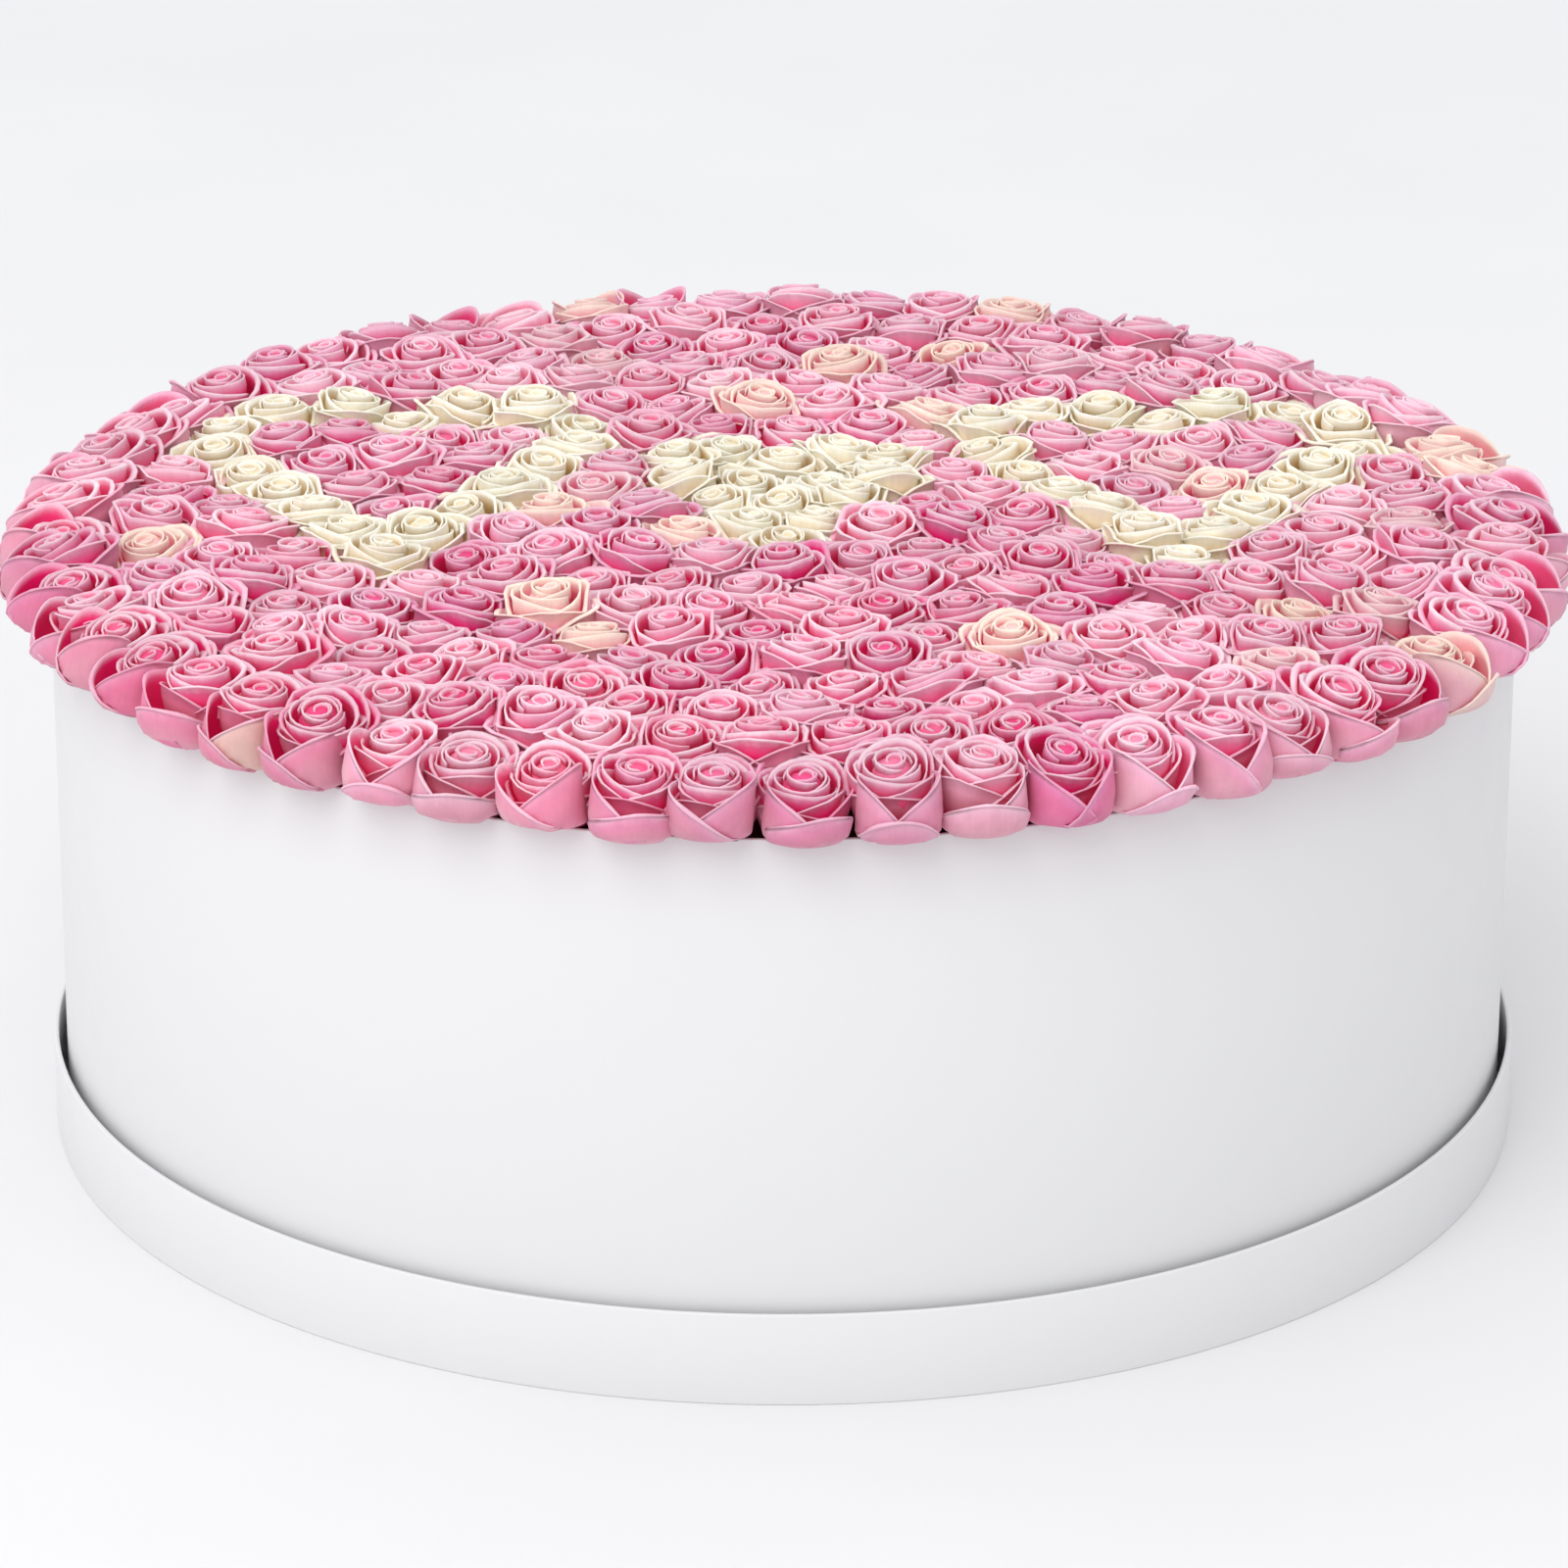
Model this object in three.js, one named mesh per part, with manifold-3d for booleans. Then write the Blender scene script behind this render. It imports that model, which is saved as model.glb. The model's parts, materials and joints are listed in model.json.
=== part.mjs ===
// Round white box of board, standing in its own upturned lid, filled with foam and packed to
// the rim with rose heads: pink ones, with three hearts of cream ones across the middle.
// Millimetres, +Z up, origin under the middle of the lid. The front of the box faces -Y.

import * as THREE from 'three';
import { mergeVertices } from 'three/addons/utils/BufferGeometryUtils.js';
import Module from 'manifold-3d';

const wasm = await Module();
wasm.setup();

// Box, lid and foam
const BODY_RADIUS = 450;
const BOARD = 3;
const RIM_Z = 346;
const LID_CLEARANCE = 5;
const LID_HEIGHT = 57;
const SEAT_GAP = 0.3;
const BOX_SIDES = 72;
const FOAM_CLEARANCE = 0.5;
const FOAM_BELOW_RIM = 12;

// Where the roses stand
const RIM_ROSES = 57;
const RIM_RING_RADIUS = 433;
const RIM_WANDER = 0.016;
const ROSE_PITCH = 48;
const FIRST_WANDER = 0.5;
const NEAREST_SHARE = 0.66;
const PUSH_REACH = 1.55;
const PUSH_SHARE = 0.3;
const PUSH_ROUNDS = 120;
const RING_MARGIN = 0.8;
const LAYOUT_SEED = 7;

// Hearts of cream roses, laid along their outlines: middle, width, height, roses down one side
const HEARTS = [
  { name: 'left', x: -242, y: 66, width: 236, height: 290, steps: 9, full: false },
  { name: 'middle', x: 0, y: 42, width: 138, height: 170, steps: 6, full: true },
  { name: 'right', x: 242, y: 66, width: 236, height: 290, steps: 9, full: false },
];
const LOBE_SHARE = 0.27;
const LOBE_STEPS = 40;
const CORE_ROSES = 3;
const CORE_RADIUS = 26;
const CORE_RISE = 9;

// One bloom: outer petal lips, the fold inside them, the bud's lips and its pit
const PETALS = 5;
const LIP = { reach: 0.84, rise: 42 };
const FOLD = { reach: 0.54, rise: 31 };
const BUD = { reach: 0.4, rise: 43 };
const PIT_RISE = 34;
const VALLEY_RISE = 23;
const WIDEST_REACH = 28;
const LIP_WAVE = 4;
const REACH_WAVE = 0.12;
const HEIGHT_WANDER = 5;
const BLOOM_SEED = 7919;

// Rim roses lean out over the board and bulge past it
const LEAN_START = 385;
const LEAN_ANGLE = THREE.MathUtils.degToRad(20);
const BULGE_RADIUS = 481;
const GHOST_RADIUS = 517;
const BULGE_RISE = 19;
const CALYX = [
  { radius: 456, rise: 4 },
  { radius: 443.5, rise: 1.6 },
  { radius: 442, rise: SEAT_GAP - FOAM_BELOW_RIM },
];

// Patches of roses that are handled as one piece, grown from these starting places
const PATCHES = 6;
const PATCH_START_ANGLE = Math.PI / 6;
const PATCH_GAP = 0.8;

// Stems, under one rose in every few
const STEM_RADIUS = 3.6;
const STEM_SIDES = 3;
const STEM_DEPTH = 45;
const STEM_SUNK = 6;
const STEM_EVERY = 7;
const HOLE_CLEARANCE = 0.9;

// Colours
const WHITE_BOARD = 0xf4f4f5;
const FOAM_GREEN = 0x53734a;
const PINK = 0xe98db0;
const CREAM = 0xf6edd0;

// Worked out from the sizes above
const LID_OUTER_RADIUS = BODY_RADIUS + LID_CLEARANCE + BOARD;
const BODY_BASE_Z = BOARD + SEAT_GAP;
const FOAM_BASE_Z = BODY_BASE_Z + BOARD + SEAT_GAP;
const FOAM_TOP_Z = RIM_Z - FOAM_BELOW_RIM;
const ROSE_BASE_Z = FOAM_TOP_Z + SEAT_GAP;
const FAR = 3 * ROSE_PITCH;

// Repeatable draws between 0 and 1
function draws(seed) {
  let state = seed;
  return () => {
    state = (state * 16807) % 2147483647;
    return state / 2147483647;
  };
}

// Right side of a heart's outline, from its notch round the lobe to its tip
function heartSide(width, height) {
  const radius = width * LOBE_SHARE;
  const middle = new THREE.Vector2(width / 2 - radius, height / 2 - radius);
  const tip = new THREE.Vector2(0, -height / 2);
  const toTip = tip.clone().sub(middle);
  const start = Math.acos(-middle.x / radius);
  const end = toTip.angle() + Math.acos(radius / toTip.length()) - 2 * Math.PI;
  const lobe = Array.from({ length: LOBE_STEPS + 1 }, (_, k) => {
    const angle = start + ((end - start) * k) / LOBE_STEPS;
    return new THREE.Vector2(Math.cos(angle), Math.sin(angle)).multiplyScalar(radius).add(middle);
  });
  return [...lobe, tip];
}

// Points at equal steps along a line of points
function evenSteps(line, steps) {
  const lengths = [0];
  line.slice(1).forEach((point, k) => lengths.push(lengths[k] + point.distanceTo(line[k])));
  const whole = lengths[lengths.length - 1];
  return Array.from({ length: steps + 1 }, (_, n) => {
    const along = (whole * n) / steps;
    const k = Math.max(1, lengths.findIndex((length) => length >= along));
    const share = (along - lengths[k - 1]) / (lengths[k] - lengths[k - 1]);
    return line[k - 1].clone().lerp(line[k], share);
  });
}

function heartRoses(heart) {
  const side = evenSteps(heartSide(heart.width, heart.height), heart.steps);
  const mirrored = side.slice(1, -1).map((point) => new THREE.Vector2(-point.x, point.y));
  const points = [...side, ...mirrored];
  for (let k = 0; heart.full && k < CORE_ROSES; k += 1) {
    const angle = (2 * Math.PI * k) / CORE_ROSES - Math.PI / 2;
    const y = CORE_RISE + CORE_RADIUS * Math.sin(angle);
    points.push(new THREE.Vector2(CORE_RADIUS * Math.cos(angle), y));
  }
  return points.map((point) => ({ x: heart.x + point.x, y: heart.y + point.y, heart: heart.name }));
}

// Roses that are set first and stay: the ring at the rim, and the hearts
function fixedRoses(draw) {
  const ring = Array.from({ length: RIM_ROSES }, (_, k) => {
    const angle = (2 * Math.PI * k) / RIM_ROSES + (draw() - 0.5) * RIM_WANDER;
    return { x: RIM_RING_RADIUS * Math.cos(angle), y: RIM_RING_RADIUS * Math.sin(angle), rim: true };
  });
  return [...ring, ...HEARTS.flatMap(heartRoses)];
}

// Pink roses fill the rest: rows of them, shaken a little, then pushed apart until they sit evenly
function fillingRoses(fixed, draw) {
  const rowStep = (ROSE_PITCH * Math.sqrt(3)) / 2;
  const rows = Math.ceil(RIM_RING_RADIUS / rowStep);
  const columns = Math.ceil(RIM_RING_RADIUS / ROSE_PITCH) + 1;
  const roses = [];
  for (let row = -rows; row <= rows; row += 1) {
    for (let column = -columns; column <= columns; column += 1) {
      const shift = 0.25 + Math.abs(row % 2) / 2;
      const x = (column + shift + (draw() - 0.5) * FIRST_WANDER) * ROSE_PITCH;
      const y = row * rowStep + (draw() - 0.5) * FIRST_WANDER * ROSE_PITCH;
      const nearest = Math.min(...fixed.map((other) => Math.hypot(x - other.x, y - other.y)));
      const inside = Math.hypot(x, y) < RIM_RING_RADIUS - NEAREST_SHARE * ROSE_PITCH;
      if (inside && nearest > NEAREST_SHARE * ROSE_PITCH) roses.push({ x, y });
    }
  }
  return roses;
}

function pushed(rose, others) {
  const reach = PUSH_REACH * ROSE_PITCH;
  let { x, y } = rose;
  others.forEach((other) => {
    const dx = rose.x - other.x;
    const dy = rose.y - other.y;
    const distance = Math.hypot(dx, dy);
    if (other === rose || distance > reach) return;
    const push = PUSH_SHARE * ROSE_PITCH * (1 - distance / reach) ** 2;
    x += (dx / distance) * push;
    y += (dy / distance) * push;
  });
  const limit = RIM_RING_RADIUS - RING_MARGIN * ROSE_PITCH;
  const back = Math.min(1, limit / Math.hypot(x, y));
  return { x: x * back, y: y * back };
}

function layOutRoses() {
  const draw = draws(LAYOUT_SEED);
  const fixed = fixedRoses(draw);
  let filling = fillingRoses(fixed, draw);
  for (let round = 0; round < PUSH_ROUNDS; round += 1) {
    const all = [...fixed, ...filling];
    filling = filling.map((rose) => pushed(rose, all));
  }
  return [...fixed, ...filling];
}

// Sites past the rim, between each two rim roses, that shut the rim roses' cells on the outside
function ghostSites(roses) {
  const ring = roses.filter((rose) => rose.rim);
  return ring.map((rose, k) => {
    const next = ring[(k + 1) % ring.length];
    const angle = Math.atan2(rose.y + next.y, rose.x + next.x);
    return { x: GHOST_RADIUS * Math.cos(angle), y: GHOST_RADIUS * Math.sin(angle), ghost: true };
  });
}

// Corners of the ground that is nearer to one site than to any other, anticlockwise.
// beyond is the site on the far side of the edge that starts at the corner.
function cellCorners(own, sites) {
  const here = sites[own];
  let corners = [[-1, -1], [1, -1], [1, 1], [-1, 1]].map(([x, y]) => {
    return { x: here.x + x * FAR, y: here.y + y * FAR, beyond: -1 };
  });
  sites.forEach((there, other) => {
    const across = { x: there.x - here.x, y: there.y - here.y };
    if (other === own || Math.hypot(across.x, across.y) > FAR) return;
    const halfway = (there.x ** 2 + there.y ** 2 - here.x ** 2 - here.y ** 2) / 2;
    const side = (corner) => halfway - corner.x * across.x - corner.y * across.y;
    corners = corners.flatMap((corner, k) => {
      const next = corners[(k + 1) % corners.length];
      const kept = side(corner) > 0;
      if (kept === side(next) > 0) return kept ? [corner] : [];
      const share = side(corner) / (side(corner) - side(next));
      const cut = {
        x: corner.x + (next.x - corner.x) * share,
        y: corner.y + (next.y - corner.y) * share,
        beyond: kept ? other : corner.beyond,
      };
      return kept ? [corner, cut] : [cut];
    });
  });
  return corners.map((corner, k) => {
    const before = corners[(k + corners.length - 1) % corners.length].beyond;
    const around = [own, before, corner.beyond].sort((a, b) => a - b);
    return { ...corner, around, key: around.join(' ') };
  });
}

// Patches grow rose by rose from their starting places, through touching roses of one colour
function growPatches(roses, cells) {
  const outside = Array.from({ length: PATCHES }, (_, k) => {
    const angle = PATCH_START_ANGLE + (2 * Math.PI * k) / PATCHES;
    const x = RIM_RING_RADIUS * Math.cos(angle);
    const y = RIM_RING_RADIUS * Math.sin(angle);
    return { name: `pink_roses_${k + 1}`, x, y, colour: PINK };
  });
  const hollow = HEARTS.filter((heart) => !heart.full);
  const inside = hollow.map(({ name, x, y }) => ({ name: `pink_in_heart_${name}`, x, y, colour: PINK }));
  const patches = [...outside, ...inside].map((patch) => {
    const distances = roses.map((rose) => {
      return rose.heart ? Infinity : Math.hypot(rose.x - patch.x, rose.y - patch.y);
    });
    return { ...patch, members: [distances.indexOf(Math.min(...distances))] };
  });
  const taken = new Set(patches.flatMap((patch) => patch.members));
  let edges = patches.map((patch) => patch.members);
  while (edges.some((edge) => edge.length)) {
    edges = patches.map((patch, n) => {
      const reached = new Set(edges[n].flatMap((rose) => cells[rose].map((corner) => corner.beyond)));
      const free = [...reached].filter((rose) => {
        return rose < roses.length && !roses[rose].heart && !taken.has(rose);
      });
      free.forEach((rose) => taken.add(rose));
      patch.members.push(...free);
      return free;
    });
  }
  const hearts = HEARTS.map(({ name }) => {
    const members = roses.flatMap((rose, k) => (rose.heart === name ? [k] : []));
    return { name: `cream_heart_${name}`, members, colour: CREAM };
  });
  return [...patches, ...hearts];
}

// Points and triangles of one closed surface
class Surface {
  points = [];

  triangles = [];

  point(x, y, z) {
    this.points.push(x, y, z);
    return this.points.length / 3 - 1;
  }

  triangle(a, b, c) {
    this.triangles.push(a, b, c);
  }

  angleAbout(rose, index) {
    return Math.atan2(this.points[3 * index + 1] - rose.y, this.points[3 * index] - rose.x);
  }

  // The band between two rings round a rose, both anticlockwise
  band(rose, outer, inner) {
    const turn = (from, to) => {
      const angle = this.angleAbout(rose, to) - this.angleAbout(rose, from);
      return angle - 2 * Math.PI * Math.round(angle / (2 * Math.PI));
    };
    const offsets = inner.map((index) => Math.abs(turn(outer[0], index)));
    const first = offsets.indexOf(Math.min(...offsets));
    const ring = inner.map((_, k) => inner[(first + k) % inner.length]);
    let o = 0;
    let i = 0;
    while (o < outer.length || i < ring.length) {
      const nowOut = outer[o % outer.length];
      const nextOut = outer[(o + 1) % outer.length];
      const nowIn = ring[i % ring.length];
      const nextIn = ring[(i + 1) % ring.length];
      const outerFirst = turn(nextIn, nextOut) < 0;
      if (i >= ring.length || (o < outer.length && outerFirst)) {
        this.triangle(nowOut, nextOut, nowIn);
        o += 1;
      } else {
        this.triangle(nowOut, nextIn, nowIn);
        i += 1;
      }
    }
  }

  // The wall between two columns of points, seen from outside: a on the left, b on the right
  wall(a, b) {
    let i = 0;
    let j = 0;
    while (i < a.length - 1 || j < b.length - 1) {
      if (i < a.length - 1 && a.length - i >= b.length - j) {
        this.triangle(a[i], a[i + 1], b[j]);
        i += 1;
      } else {
        this.triangle(a[i], b[j + 1], b[j]);
        j += 1;
      }
    }
  }

  // The flat underside inside one or more loops of points
  underside(loops) {
    const flat = (loop) => {
      return loop.map((index) => new THREE.Vector2(this.points[3 * index], this.points[3 * index + 1]));
    };
    const sizes = loops.map((loop) => Math.abs(THREE.ShapeUtils.area(flat(loop))));
    const outline = loops[sizes.indexOf(Math.max(...sizes))];
    const holes = loops.filter((loop) => loop !== outline);
    const indices = [outline, ...holes].flat();
    const faces = THREE.ShapeUtils.triangulateShape(flat(outline), holes.map(flat));
    faces.forEach((face) => {
      const corners = face.map((k) => indices[k]);
      if (THREE.ShapeUtils.area(flat(corners)) > 0) corners.reverse();
      this.triangle(...corners);
    });
  }

  geometry() {
    const geometry = new THREE.BufferGeometry();
    geometry.setAttribute('position', new THREE.Float32BufferAttribute(this.points, 3));
    geometry.setIndex(this.triangles);
    return geometry;
  }
}

// Distance from a rose to the edge of its cell in one direction
function reachOf(rose, corners, angle) {
  const dx = Math.cos(angle);
  const dy = Math.sin(angle);
  const distances = corners.map((corner, k) => {
    const next = corners[(k + 1) % corners.length];
    const ex = next.x - corner.x;
    const ey = next.y - corner.y;
    const turn = dx * ey - dy * ex;
    const distance = ((corner.x - rose.x) * ey - (corner.y - rose.y) * ex) / turn;
    return turn > 0 ? distance : Infinity;
  });
  return Math.min(...distances);
}

// A bloom's own point, leant outwards with the rest of the bloom near the rim
function bloomPoint(surface, rose, radius, angle, rise) {
  const out = Math.atan2(rose.y, rose.x);
  const fromRim = (Math.hypot(rose.x, rose.y) - LEAN_START) / (RIM_RING_RADIUS - LEAN_START);
  const lean = LEAN_ANGLE * THREE.MathUtils.clamp(fromRim, 0, 1);
  const along = radius * Math.cos(angle - out);
  const aside = radius * Math.sin(angle - out);
  const height = rise - VALLEY_RISE;
  const leantAlong = along * Math.cos(lean) + height * Math.sin(lean);
  const leantHeight = height * Math.cos(lean) - along * Math.sin(lean);
  const x = rose.x + leantAlong * Math.cos(out) - aside * Math.sin(out);
  const y = rose.y + leantAlong * Math.sin(out) + aside * Math.cos(out);
  return surface.point(x, y, RIM_Z + VALLEY_RISE + leantHeight);
}

function addBloom(surface, rose, corners, edge, draw) {
  const twist = 2 * Math.PI * draw();
  const lift = (draw() - 0.5) * HEIGHT_WANDER;
  const ring = ({ reach, rise }, turn, outer) => Array.from({ length: PETALS }, (_, k) => {
    const angle = twist + (2 * Math.PI * (k + turn)) / PETALS;
    const whole = outer ? reachOf(rose, corners, angle) : WIDEST_REACH;
    const radius = whole * (reach + REACH_WAVE * (draw() - 0.5));
    return bloomPoint(surface, rose, radius, angle, rise + lift + LIP_WAVE * (draw() - 0.5));
  });
  const lips = ring(LIP, 0, true);
  const fold = ring(FOLD, 0.5, false);
  const bud = ring(BUD, 0.25, false);
  const pit = bloomPoint(surface, rose, 0, 0, PIT_RISE + lift);
  surface.band(rose, edge, lips);
  surface.band(rose, lips, fold);
  surface.band(rose, fold, bud);
  bud.forEach((index, k) => surface.triangle(index, bud[(k + 1) % PETALS], pit));
}

// Points down one corner of a patch's edge, from the valley between blooms to the underside
function edgeColumn(surface, corner, sites, members) {
  const own = corner.around.filter((site) => members.has(site));
  const foreign = corner.around.filter((site) => !members.has(site) && !sites[site].ghost);
  const place = new THREE.Vector2(corner.x, corner.y);
  if (foreign.length) {
    // Towards the patch's one rose here, or else away from the one rose that isn't the patch's
    const lone = own.length === 1 ? sites[own[0]] : sites[foreign[0]];
    const towards = new THREE.Vector2(lone.x - corner.x, lone.y - corner.y).normalize();
    place.addScaledVector(towards, own.length === 1 ? PATCH_GAP : -PATCH_GAP);
  }
  const ghosts = corner.around.filter((site) => sites[site].ghost).length;
  if (!ghosts) {
    const top = surface.point(place.x, place.y, RIM_Z + VALLEY_RISE);
    return own.length === 3 ? [top] : [top, surface.point(place.x, place.y, ROSE_BASE_Z)];
  }
  if (ghosts === 2) place.setLength(BULGE_RADIUS);
  const top = surface.point(place.x, place.y, RIM_Z + BULGE_RISE);
  const below = CALYX.map(({ radius, rise }) => {
    const level = place.clone().setLength(radius);
    return surface.point(level.x, level.y, RIM_Z + rise);
  });
  return [top, ...below];
}

function patchGeometry(patch, roses, sites, cells) {
  const surface = new Surface();
  const members = new Set(patch.members);
  const columns = new Map();
  const onward = new Map();
  patch.members.forEach((own) => {
    cells[own].forEach((corner, k) => {
      if (!columns.has(corner.key)) {
        columns.set(corner.key, edgeColumn(surface, corner, sites, members));
      }
      const next = cells[own][(k + 1) % cells[own].length];
      if (!members.has(corner.beyond)) onward.set(corner.key, next.key);
    });
    const edge = cells[own].map((corner) => columns.get(corner.key)[0]);
    addBloom(surface, roses[own], cells[own], edge, draws(BLOOM_SEED * (own + 1)));
  });
  onward.forEach((next, key) => surface.wall(columns.get(key), columns.get(next)));
  const loops = [];
  const left = new Set(onward.keys());
  while (left.size) {
    const loop = [];
    let key = [...left][0];
    while (left.delete(key)) {
      loop.push(columns.get(key).at(-1));
      key = onward.get(key);
    }
    loops.push(loop);
  }
  surface.underside(loops);
  return surface.geometry();
}

// Solids for joining and cutting
function solidOf(geometry) {
  const bare = geometry.index ? geometry.toNonIndexed() : geometry.clone();
  bare.deleteAttribute('normal');
  bare.deleteAttribute('uv');
  const merged = mergeVertices(bare, 1e-3);
  return new wasm.Manifold(new wasm.Mesh({
    numProp: 3,
    vertProperties: merged.attributes.position.array,
    triVerts: new Uint32Array(merged.index.array),
  }));
}

function geometryOf(solid) {
  const { vertProperties, triVerts } = solid.getMesh();
  const geometry = new THREE.BufferGeometry();
  geometry.setAttribute('position', new THREE.BufferAttribute(vertProperties, 3));
  geometry.setIndex(new THREE.BufferAttribute(triVerts, 1));
  return geometry;
}

// An upright rod with few sides, between two heights
function rod(rose, radius, low, high) {
  const geometry = new THREE.CylinderGeometry(radius, radius, high - low, STEM_SIDES);
  geometry.rotateX(Math.PI / 2);
  geometry.translate(rose.x, rose.y, (low + high) / 2);
  return solidOf(geometry);
}

function stem(rose) {
  return rod(rose, STEM_RADIUS, FOAM_TOP_Z - STEM_DEPTH, ROSE_BASE_Z + STEM_SUNK);
}

function stemHole(rose) {
  const low = FOAM_TOP_Z - STEM_DEPTH - HOLE_CLEARANCE;
  return rod(rose, STEM_RADIUS + HOLE_CLEARANCE, low, FOAM_TOP_Z + STEM_SUNK);
}

function mesh(name, geometry, colour, roughness) {
  const material = new THREE.MeshStandardMaterial({ color: colour, roughness, metalness: 0 });
  const made = new THREE.Mesh(geometry, material);
  made.name = name;
  return made;
}

// A round tray of board: floor and upright wall
function tray(name, outerRadius, base, top) {
  const inner = outerRadius - BOARD;
  const profile = [
    [0, base],
    [outerRadius, base],
    [outerRadius, top],
    [inner, top],
    [inner, base + BOARD],
    [0, base + BOARD],
  ].map(([radius, z]) => new THREE.Vector2(radius, z));
  const geometry = new THREE.LatheGeometry(profile, BOX_SIDES).rotateX(Math.PI / 2);
  return mesh(name, geometry, WHITE_BOARD, 0.6);
}

function foamBed(stemmed) {
  const radius = BODY_RADIUS - BOARD - FOAM_CLEARANCE;
  const height = FOAM_TOP_Z - FOAM_BASE_Z;
  const block = new THREE.CylinderGeometry(radius, radius, height, BOX_SIDES);
  block.rotateX(Math.PI / 2).translate(0, 0, (FOAM_TOP_Z + FOAM_BASE_Z) / 2);
  const holes = wasm.Manifold.union(stemmed.map(stemHole));
  return mesh('foam_bed', geometryOf(solidOf(block).subtract(holes)), FOAM_GREEN, 0.95);
}

function roseMesh(patch, roses, sites, cells, stems) {
  const heads = solidOf(patchGeometry(patch, roses, sites, cells));
  const own = patch.members.filter((rose) => stems.has(rose));
  const whole = wasm.Manifold.union([heads, ...own.map((rose) => stem(roses[rose]))]);
  return mesh(patch.name, geometryOf(whole), patch.colour, 0.7);
}

const roses = layOutRoses();
const sites = [...roses, ...ghostSites(roses)];
const cells = roses.map((_, own) => cellCorners(own, sites));
const patches = growPatches(roses, cells);
const stems = new Set(patches.flatMap(({ members }) => members.filter((_, k) => k % STEM_EVERY === 0)));

const roseBox = new THREE.Group();
roseBox.add(tray('lid', LID_OUTER_RADIUS, 0, LID_HEIGHT));
roseBox.add(tray('box_body', BODY_RADIUS, BODY_BASE_Z, RIM_Z));
roseBox.add(foamBed([...stems].map((rose) => roses[rose])));
patches.forEach((patch) => roseBox.add(roseMesh(patch, roses, sites, cells, stems)));

export default roseBox;
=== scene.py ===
"""Round white board box in its own upturned lid, packed to the rim with pink and cream roses.

It dresses the packed part: board with rounded edges, foam, and roses with all their petals.
Metres, +Z up, the front of the box faces -Y.
"""
import json
import math
import random
from collections import namedtuple

import bpy
import numpy as np
from bpy.props import FloatProperty, FloatVectorProperty, IntProperty, PointerProperty
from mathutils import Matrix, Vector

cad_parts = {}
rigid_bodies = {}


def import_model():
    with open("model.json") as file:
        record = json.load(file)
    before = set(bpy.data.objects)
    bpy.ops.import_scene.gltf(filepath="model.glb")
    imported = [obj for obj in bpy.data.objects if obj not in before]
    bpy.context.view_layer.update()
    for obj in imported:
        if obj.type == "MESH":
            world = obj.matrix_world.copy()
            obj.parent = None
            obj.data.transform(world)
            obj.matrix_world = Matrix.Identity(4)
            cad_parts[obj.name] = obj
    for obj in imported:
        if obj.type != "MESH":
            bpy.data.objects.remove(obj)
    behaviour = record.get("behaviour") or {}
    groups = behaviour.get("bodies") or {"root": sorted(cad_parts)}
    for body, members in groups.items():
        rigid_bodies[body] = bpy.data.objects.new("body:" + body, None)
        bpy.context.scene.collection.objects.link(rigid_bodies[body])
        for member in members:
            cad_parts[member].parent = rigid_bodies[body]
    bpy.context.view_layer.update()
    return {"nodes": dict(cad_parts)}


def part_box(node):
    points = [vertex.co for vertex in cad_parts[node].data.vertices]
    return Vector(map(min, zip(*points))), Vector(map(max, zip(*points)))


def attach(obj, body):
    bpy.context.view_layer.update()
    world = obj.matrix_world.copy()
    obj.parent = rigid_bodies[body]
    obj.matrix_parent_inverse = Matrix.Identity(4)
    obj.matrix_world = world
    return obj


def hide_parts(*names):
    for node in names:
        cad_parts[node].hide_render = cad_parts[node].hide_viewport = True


bl_info = {
    "name": "Rose box",
    "version": (1, 0, 0),
    "blender": (4, 5, 0),
    "location": "View3D > Sidebar > Rose box",
    "description": "Builds a round box of roses around its packed part",
    "category": "Object",
}

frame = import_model()
BODY_LOW, BODY_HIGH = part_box("box_body")
LID_LOW, LID_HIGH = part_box("lid")
FOAM_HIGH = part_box("foam_bed")[1]
MM = 0.001
RIM_Z = BODY_HIGH.z / MM

# Where the roses stand, in millimetres, by the same rules as in the part
RIM_ROSES = 57
RIM_RING_RADIUS = 433
RIM_WANDER = 0.016
ROSE_PITCH = 48
FIRST_WANDER = 0.5
NEAREST_SHARE = 0.66
PUSH_REACH = 1.55
PUSH_SHARE = 0.3
PUSH_ROUNDS = 120
RING_MARGIN = 0.8
LAYOUT_SEED = 7
DRAW_FACTOR = 16807
DRAW_RANGE = 2147483647
GHOST_RADIUS = 517
Heart = namedtuple("Heart", "x y width height steps full")
HEARTS = (
    Heart(-242, 66, 236, 290, 9, False),
    Heart(0, 42, 138, 170, 6, True),
    Heart(242, 66, 236, 290, 9, False),
)
LOBE_SHARE = 0.27
LOBE_STEPS = 40
CORE_ROSES = 3
CORE_RADIUS = 26
CORE_RISE = 9
PIT_LEAN = 3.8
STEM_FEET_Z = 310
STEM_SEARCH = 5.5

# How a bloom sits in its place among its neighbours, in millimetres and degrees
LEAN_START = 385
PLAIN_REACH = 22
SIZE_RANGE = (0.88, 1.18)
SPREAD_START = 14
SPREAD_END = 21.5
SPREAD_SHARE = 0.94
SPREAD_RISES = (-4, 24)
PIVOT_RISE = 23
LEAN_RISES = (-8, 16)
LEAN_LESS = 0.25
TILT = 10
RIM_SHIFT = 8
RIM_DROP = 1.5
RIM_REACH = (22.5, 34)
REACH_DIRECTIONS = 72
CLEARANCE_RADII = (442.5, 444, 452, 462, 474, 483, 495)
CLEARANCE_RISES = (-30, 1.7, 2.2, 5.5, 13, 22, 30)

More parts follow.
